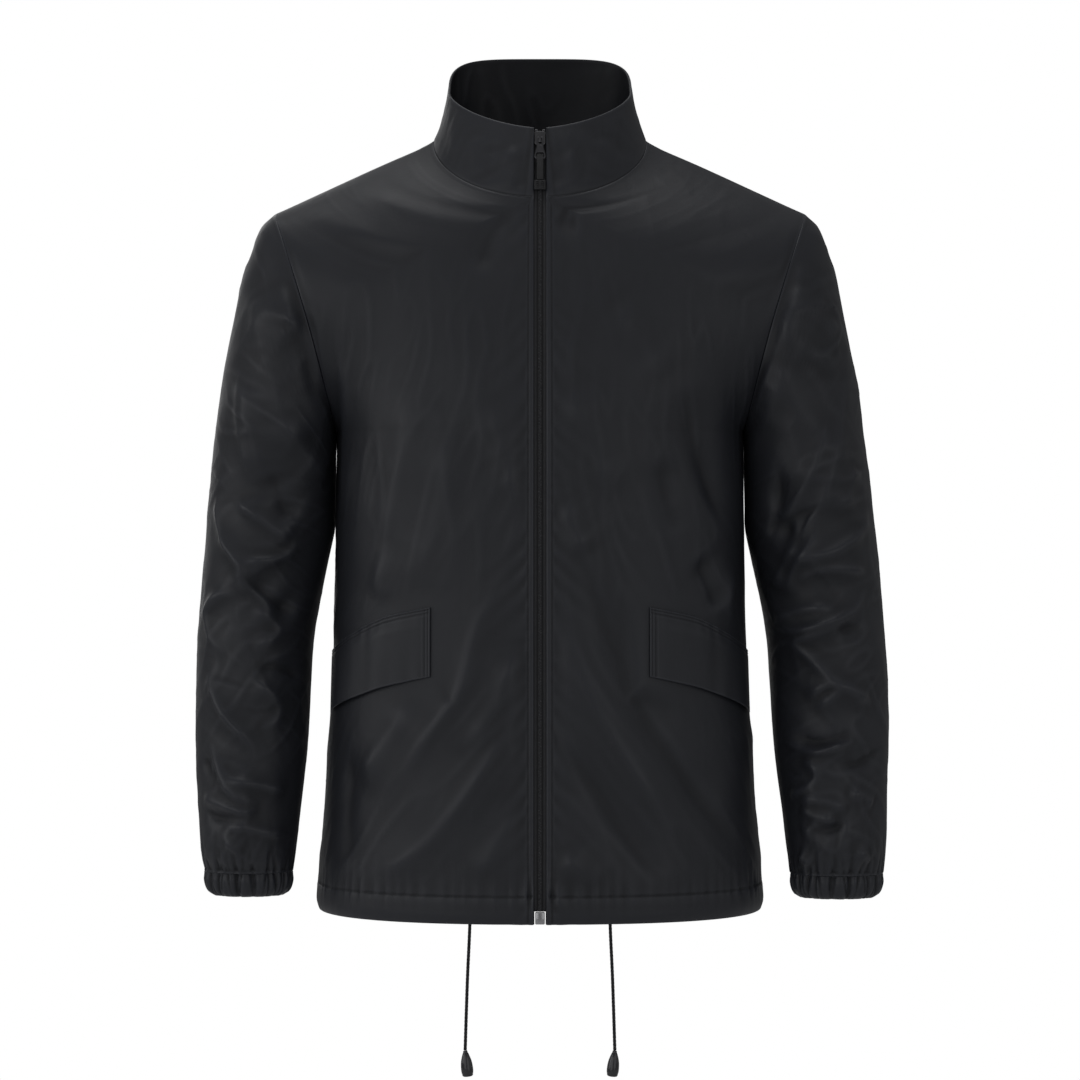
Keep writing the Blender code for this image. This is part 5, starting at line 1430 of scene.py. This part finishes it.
points, outward = sweep(collar_row, collar_shares)
outward *= np.sign((outward * (points * (1, 1, 0))).sum())
from_end = np.minimum(marks - first, last - marks)[None, :]
from_foot = collar_shares[:, None] * COLLAR_HEIGHT
from_top = (1 - collar_shares)[:, None] * COLLAR_HEIGHT
fullness = round_end(from_end, COLLAR_WALL) * round_end(from_top, COLLAR_WALL)
pattern = np.stack([np.broadcast_to(marks - girth / 2, points.shape[:2]), points[..., 2]], axis=2)
shown = np.where((points[..., 1] < 0)[..., None], seen(points, FRONT), FAR_AWAY)
calm = ease(from_end / 0.008) * ease(from_top / 0.012) * ease(collar_shares[:, None] / 0.12)
relief = crease_lift(COLLAR_CREASES, shown, pattern) * calm
swelling = COLLAR_SWELLING * rumple(pattern, size=0.035, seed=31.0)
creased = wrinkles(pattern, size=0.012, stretch=2.5, lean=0.2, seed=35.0)
relief += (swelling + COLLAR_WRINKLES * creased) * calm
relief -= END_GROOVE * ridge(from_end - ZIP_STITCHES, STITCH_GROOVE)
relief -= FOOT_GROOVE * ridge(from_foot, 0.0012)
inside_relief = INSIDE_SWELLING * rumple(pattern, size=0.045, seed=41.0)
inside_relief += INSIDE_WRINKLES * wrinkles(
    pattern, size=0.024, stretch=2.5, lean=0.1, seed=43.0
)
# The inner layer never comes through the outer one
inside_relief = np.maximum(inside_relief * calm, -0.5 * COLLAR_WALL * fullness - relief)
grid = two_layers(points, outward, COLLAR_WALL, fullness, relief, inside_relief)
piece = skin("collar_cloth", [grid], shell)
# The inner layer takes a darker colour, which is painted shade inside the collar, and a duller shine
piece.data.materials.append(shell_cloth("shell_inside_painted_shade", INSIDE_PAINTED_SHADE_COLOUR, WRONG_SIDE_SHINE))
outer_faces = (len(collar_shares) - 1) * (len(collar_turns) - 1)
for face in piece.data.polygons:
    face.material_index = int(outer_faces <= face.index < 2 * outer_faces)
fasten(piece, "shell_cloth", "collar")


# The pocket flaps: two layers of shell cloth, sewn to the front along their top edge and stitched
# down at their front end by two rows. Towards the side seam the flap's free edge stands off.
FLAP_WALL = 0.0014
FLAP_SEAM = 0.0003
FLAP_CELLS = 96
FLAP_ROWS = 46
FLAP_DROP = 0.0613
FLAP_EDGE_STEPS = (
    0.0, 0.0001, 0.0003, 0.0007, 0.0013, 0.0020, 0.0028, 0.0036, 0.0046, 0.0056,
)
FLAP_STITCHES = (0.0020, 0.0046)
FLAP_GROOVE = 0.0005
GROOVE_WIDTH = 0.0007
FLAP_FOLD = 0.1440
FLAP_BULGE = 0.0026
FLAP_HOLLOW = 0.0011
FOOT_WAVES = 0.0004
TOP_WAVES = 0.0003


def flap_gap(x, level):
    """How far the flap stands off the front; level is 0 at its foot and 1 along its top."""
    low, high = FLAP.at("bottom_gap", x), FLAP.at("top_gap", x)
    return low + (high - low) * level


edge_steps = np.array(FLAP_EDGE_STEPS)
flap_length = FLAP.rows[-1][0] - FLAP.rows[0][0]
flap_xs = FLAP.rows[0][0] + np.concatenate([
    edge_steps,
    np.linspace(0.0070, flap_length - 0.0045, FLAP_CELLS),
    flap_length - edge_steps[6::-1],
])
flap_levels = np.concatenate([
    edge_steps / FLAP_DROP, np.linspace(0.11, 0.89, FLAP_ROWS), 1 - edge_steps[::-1] / FLAP_DROP,
])


def flap_row(level, slide):
    """Points of the smooth front under the flap, at one level of it."""
    row = []
    for x in flap_xs + slide:
        top, bottom = FLAP.at("top", x), FLAP.at("bottom", x)
        row.append(front_at(x, bottom + (top - bottom) * level))
    return np.array(row)


points, outward = sweep(flap_row, flap_levels)
outward *= np.sign((outward * (0, -1, 0)).sum())
gaps = np.array([[flap_gap(x, level) for x in flap_xs] for level in flap_levels])
points += outward * (FLAP_WALL + FLAP_SEAM + gaps)[..., None]
from_front_end = (flap_xs - flap_xs[0])[None, :]
from_back_end = (flap_xs[-1] - flap_xs)[None, :]
from_foot = flap_levels[:, None] * FLAP_DROP
from_top = (1 - flap_levels[:, None]) * FLAP_DROP
past_fold = flap_xs - FLAP_FOLD
reach = np.where(past_fold > 0, flap_xs[-1] - FLAP_FOLD, FLAP_FOLD - flap_xs[0])
bulge = FLAP_BULGE * (1.006 - np.hypot(past_fold / reach, 0.11))
bulge -= FLAP_HOLLOW * ridge(past_fold - 0.009, 0.008)
points += outward * (bulge * ease(from_top / 0.016))[..., None]
flap_grids = {}
for side_name, side in SIDES:
    fullness = round_end(from_front_end, FLAP_WALL) * round_end(from_back_end, FLAP_WALL)
    fullness = fullness * round_end(from_foot, FLAP_WALL) * round_end(from_top, FLAP_WALL)
    grooves = sum(
        ridge(from_front_end - distance, GROOVE_WIDTH) + ridge(from_top - distance, GROOVE_WIDTH)
        for distance in FLAP_STITCHES
    )
    foot_waves = pucker(flap_xs, step=0.021, wander=side) * np.exp(-from_foot / 0.016)
    top_waves = pucker(flap_xs, step=0.012, wander=2.0) * np.exp(-from_top / 0.010)
    waves = FOOT_WAVES * foot_waves + TOP_WAVES * top_waves
    relief = waves * ease(from_front_end / 0.01) - FLAP_GROOVE * grooves
    grid = two_layers(points, outward, FLAP_WALL, fullness, relief * fullness) * (side, 1, 1)
    flap_grids[side] = (points + outward * relief[..., None]) * (side, 1, 1), outward * (side, 1, 1)
    piece = skin("flap_cloth_" + side_name, [grid], shell)
    fasten(piece, "shell_cloth", "flap_" + side_name)


# The zip's tapes and coil: woven polyester tapes sewn behind the fronts' folded edges, and a
# closed nylon coil between them whose turns from both sides lock together. Behind the turns are
# the yarn that fills them and the tapes' edges that they are sewn to.
TAPE_INNER_EDGE = 0.0027
TAPE_OUTER_EDGE = 0.0160
TAPE_DEPTH = 0.0029
ZIP_TOP = 0.0062
BOX_TOP = -0.6885
SLIDER_HEIGHT = -0.0035
COLLAR_FRONT_TOP = COLLAR_SIDE_HEIGHT - COLLAR_RISE
COIL_PITCH = 0.00135
COIL_DEPTH = 0.0016
COIL_TURN = (0.00082, 0.0008, 0.00052)
COIL_TURN_PLACE = 0.00074
COIL_TURN_SLOPE = 0.16
TAPE_COLOUR = (0.046, 0.047, 0.052)
TAPE_RIB = 0.0007
TAPE_ROW = 0.004
COIL_COLOUR = (0.105, 0.106, 0.115)
SET_BACK = Table(
    "height depth",
    (-0.700, 0.0004), (-0.100, 0.0004), (-0.066, 0.0010), (-0.052, 0.0022), (0.010, 0.0044),
)


def closure_depth(height):
    """How far the middle of the jacket's front stands forward, from the collar's top to the hem."""
    if height <= NECK_FRONT_HEIGHT:
        return FRONT_LINE.at("depth", height)
    share = (height - NECK_FRONT_HEIGHT) / (COLLAR_FRONT_TOP - NECK_FRONT_HEIGHT)
    return NECK_FRONT_DEPTH + (COLLAR_HALF_DEPTH - NECK_FRONT_DEPTH) * share


def behind_closure(height, depth):
    """A point behind the jacket's middle front, as deep as said, square to its slope."""
    slope = (closure_depth(height - 0.004) - closure_depth(height + 0.004)) / 0.008
    inward = np.array((0.0, 1.0, -slope))
    return np.array((0.0, -closure_depth(height), height)) + inward * depth / np.linalg.norm(inward)


tape_cloth = textured("zip_tape", TAPE_COLOUR, 0.62, tint=(300, 0.25))
wire = Wire(tape_cloth.node_tree)
u, v = own_uv(wire)
ribs = ((u + v * 0.5) * (math.pi / TAPE_RIB)).sine()
bumped(wire, ribs, 0.00010, 0.6).into("Normal")
nylon = textured(
    "coil_nylon", COIL_COLOUR, 0.30, gloss=(500, 0.16, 0.18), grain=(2200, 0.00003, 0.4)
)
tape_heights = np.arange(BOX_TOP + 0.0003, ZIP_TOP, TAPE_ROW)
shares = np.linspace(0, 1, 9)
for side_name, side in SIDES:
    grid = np.array([
        [
            behind_closure(height, TAPE_DEPTH + SET_BACK.at("depth", height) * share)
            + (side * (TAPE_INNER_EDGE + (TAPE_OUTER_EDGE - TAPE_INNER_EDGE) * share), 0, 0)
            for share in shares
        ]
        for height in tape_heights
    ])
    piece = cloth(
        "zip_ribbon_" + side_name, [grid], tape_cloth, "zip_tape_" + side_name, slot="zip_tape"
    )


def bead(bm, place, half_sizes, turn=Matrix.Identity(4)):
    """A small rounded body with 20 faces, for shapes that repeat."""
    matrix = Matrix.Translation(place) @ turn @ Matrix.Diagonal((*half_sizes, 1))
    bmesh.ops.create_icosphere(bm, subdivisions=1, radius=1.0, matrix=matrix)


bm = bmesh.new()
count = int((SLIDER_HEIGHT - BOX_TOP) / COIL_PITCH)
for k in range(count):
    for side, shift in ((-1, 0.0), (1, 0.5)):
        height = BOX_TOP + 0.0010 + COIL_PITCH * (k + shift)
        place = behind_closure(height, COIL_DEPTH) + (side * COIL_TURN_PLACE, 0, 0)
        bead(bm, Vector(place), COIL_TURN, Matrix.Rotation(side * COIL_TURN_SLOPE, 4, "Y"))
fasten(finished("coil_turns", bm, nylon), "coil_nylon", "zip_chain")

# The tapes' edges behind the turns and the yarn that fills them take the dark cord yarn, darker than
# the tapes: painted shade in the grooves beside the turns and between their two rows
core_heights = np.arange(BOX_TOP + 0.0003, SLIDER_HEIGHT + 0.002, TAPE_ROW)
for name, half_width, depth, fall, cells in (
    ("coil_core", 0.0034, 0.0027, 0.0004, 6),
    ("coil_filler", 0.0008, 0.0019, 0.0006, 4),
):
    band = np.array([
        [
            behind_closure(height, depth + fall * abs(share)) + (share * half_width, 0, 0)
            for share in np.linspace(-1, 1, cells + 1)
        ]
        for height in core_heights
    ])
    fasten(skin(name, [band], yarn, inside=np.zeros(3)), "zip_tape")


# The slider, its pull, the top stops and the box: plated metal. The tab hinges on the slider's
# bridge; a folded tape goes through the tab's eye and ends in a moulded rubber grip with ribs.
SLIDER_EDGE = 0.00035
PULL_EDGE = 0.00022
RIBBON_EDGE = 0.00035
GRIP_EDGE = 0.0003
BOX_EDGE = 0.0003
NICKEL_COLOUR = (0.19, 0.19, 0.20)
DARK_NICKEL_COLOUR = (0.13, 0.13, 0.14)
BRIGHT_NICKEL_COLOUR = (0.62, 0.62, 0.64)
RUBBER_COLOUR = (0.020, 0.0205, 0.023)
RIBBON_COLOUR = (0.022, 0.0225, 0.025)
RIBBON_RIB = 0.0009
GRIP_RIBS = 5
GRIP_RIB = (0.0015, 0.0004, 0.0005)
GRIP_RIB_PLACE = 0.0024
GRIP_SLOPE = 0.0014

nickel = plated("nickel_plate", NICKEL_COLOUR, 0.16)
rounded_copy("slider_metal", "zip_slider", SLIDER_EDGE, nickel, "nickel")
dark_nickel = plated("dark_nickel", DARK_NICKEL_COLOUR, 0.30)
rounded_copy("pull_metal", "zip_pull", PULL_EDGE, dark_nickel, "nickel", body="pull")
ribbon_cloth = textured("pull_ribbon", RIBBON_COLOUR, 0.6, tint=(350, 0.3))
wire = Wire(ribbon_cloth.node_tree)
place = wire.node("ShaderNodeTexCoord", output="Object")
height = wire.node("ShaderNodeSeparateXYZ", {0: place}, 2)
bumped(wire, (height * (math.tau / RIBBON_RIB)).sine(), 0.00012, 0.7).into("Normal")
rounded_copy("pull_ribbon", "pull_tape", RIBBON_EDGE, ribbon_cloth, "zip_tape", body="pull")
rubber = textured(
    "pull_rubber", RUBBER_COLOUR, 0.48, tint=(220, 0.2), grain=(1800, 0.00006, 0.5)
)
rounded_copy("pull_moulding", "pull_grip", GRIP_EDGE, rubber, "pull_rubber", body="pull")
low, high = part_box("pull_grip")
bm = bmesh.new()
for k in range(GRIP_RIBS):
    share = (k + 0.7) / (GRIP_RIBS + 0.4)
    height = low[2] + (high[2] - low[2]) * share
    front = low[1] + GRIP_SLOPE * share
    for x in (-GRIP_RIB_PLACE, GRIP_RIB_PLACE):
        bead(bm, (x, front, height), GRIP_RIB)
fasten(finished("pull_ribs", bm, rubber), "pull_rubber", body="pull")
for side_name, side in SIDES:
    rounded_copy(
        "stop_metal_" + side_name, "zip_stop_" + side_name, SLIDER_EDGE, nickel, "nickel"
    )
bright_nickel = plated("bright_nickel", BRIGHT_NICKEL_COLOUR, 0.22)
rounded_copy("box_metal", "zip_box", BOX_EDGE, bright_nickel, "nickel")


# Lockstitching in dark thread: along both fronts' edges by the zip, along the fronts' casing, and
# in two rows down the flaps' front ends and along their tops. Each stitch is a short bead half
# sunk into the cloth.
THREAD_COLOUR = (0.022, 0.0235, 0.029)
STITCH_LENGTH = 0.0024
STITCH_STEP = 0.0032
STITCH_SIZES = (STITCH_LENGTH / 2, 0.00022, 0.00022)
STITCH_RISE = 0.00005


def sew(bm, path, outward):
    """Stitches along a path of points on the cloth, square to its outward direction."""
    walked = lengths_along(path)

    def read(line, distance):
        return Vector([np.interp(distance, walked, values) for values in line.T])

    for k in range(int(walked[-1] / STITCH_STEP)):
        middle = STITCH_STEP * (k + 0.5)
        start, end = read(path, middle - STITCH_LENGTH / 2), read(path, middle + STITCH_LENGTH / 2)
        up = read(outward, middle)
        along = (end - start).normalized()
        side = up.cross(along).normalized()
        turn = Matrix((along, side, along.cross(side))).transposed().to_4x4()
        bead(bm, read(path, middle) + up * STITCH_RISE, STITCH_SIZES, turn)


def nearest_open(places, mark, depths):
    """The place nearest a mark, apart from those of the cloth that is turned under."""
    return int(np.argmin(np.abs(places - mark) + 9 * (depths > 0)))


sewing_thread = textured("sewing_thread", THREAD_COLOUR, 0.55, grain=(3000, 0.00003, 0.4))
bm = bmesh.new()
first_column = nearest_open(front_columns.starts, ZIP_STITCHES, front_columns.depths)
from_hem = len(hem_distances)
to_neck = int(np.searchsorted(body_levels, 0.5))
for side_name, side in SIDES:
    grid, outward = front_grids[side]
    sew(bm, grid[from_hem:to_neck, first_column], outward[from_hem:to_neck, first_column])
fasten(finished("stitches_fronts", bm, sewing_thread), "shell_cloth")

bm = bmesh.new()
for side_name, side in SIDES:
    grid, outward = flap_grids[side]
    for distance in FLAP_STITCHES:
        column = int(np.argmin(np.abs(flap_xs - flap_xs[0] - distance)))
        row = int(np.argmin(np.abs(from_top[:, 0] - distance)))
        sew(bm, grid[4:-4, column], outward[4:-4, column])
        sew(bm, grid[row, 4:-4], outward[row, 4:-4])
fasten(finished("stitches_flaps", bm, sewing_thread), "shell_cloth")

bm = bmesh.new()
stitch_row = nearest_open(body_levels + UNDERARM, CASING_TOP, body_depths)
for side_name, side in SIDES:
    grid, outward = front_grids[side]
    sew(bm, grid[stitch_row, first_column:-6], outward[stitch_row, first_column:-6])
fasten(finished("stitches_hem", bm, sewing_thread), "shell_cloth")


# The studio: a plain pale floor well below the jacket and white all round. Large soft lights stand
# in front and beside on both sides, the left ones stronger, two hang overhead and one is behind.
FLOOR_HEIGHT = -1.25
FLOOR_RADIUS = 2.2
FLOOR_COLOUR = (0.66, 0.66, 0.66)
WHITE_AROUND = 1.0
AMBIENT = 0.14
MIDDLE = (0, 0, -0.35)
NECK = (0, 0, 0)
Light = namedtuple("Light", "name place target size power")
LIGHTS = (
    Light("left", (-3.6, -2.6, 0.6), MIDDLE, 2.6, 5),
    Light("right", (3.6, -2.6, 0.6), MIDDLE, 2.6, 1),
    Light("wide_left", (-2.4, -4.2, 0.2), MIDDLE, 3.4, 16),
    Light("wide_right", (2.4, -4.2, 0.2), MIDDLE, 3.4, 13),
    Light("beside_left", (-4.0, -0.8, 0.4), MIDDLE, 2.6, 14),
    Light("beside_right", (4.0, -0.8, 0.4), MIDDLE, 2.6, 3),
    Light("overhead", (0, -0.6, 2.8), NECK, 2.4, 12),
    Light("over_back", (-0.4, 0.8, 2.7), NECK, 2.2, 13),
    Light("behind", (-1.5, 4.2, 0.9), MIDDLE, 3.0, 26),
)

bpy.context.scene.view_settings.view_transform = "Standard"
material, wire = finish("floor_paint", FLOOR_COLOUR, 0.6)
tinted(object_noise(wire, 3), 0.02, FLOOR_COLOUR).into("Base Color")
bm = bmesh.new()
bmesh.ops.create_circle(bm, cap_ends=True, radius=FLOOR_RADIUS, segments=96)
bmesh.ops.translate(bm, vec=(0, 0, FLOOR_HEIGHT), verts=bm.verts)
finished("floor", bm, material, smooth=False)

world = bpy.data.worlds.new("studio")
world.use_nodes = True
bpy.context.scene.world = world
sky = Wire(world.node_tree)
shown_to_camera = sky.node("ShaderNodeLightPath", output="Is Camera Ray")
strength = shown_to_camera * (WHITE_AROUND - AMBIENT) + AMBIENT
background = world.node_tree.nodes["Background"]
background.inputs["Color"].default_value = (1, 1, 1, 1)
world.node_tree.links.new(strength.socket, background.inputs["Strength"])

for light in LIGHTS:
    lamp = bpy.data.lights.new(light.name, "AREA")
    lamp.size = light.size
    lamp.energy = light.power
    holder = bpy.data.objects.new(light.name, lamp)
    holder.location = light.place
    aim = Vector(light.target) - Vector(light.place)
    holder.rotation_euler = aim.to_track_quat("-Z", "Y").to_euler()
    bpy.context.scene.collection.objects.link(holder)
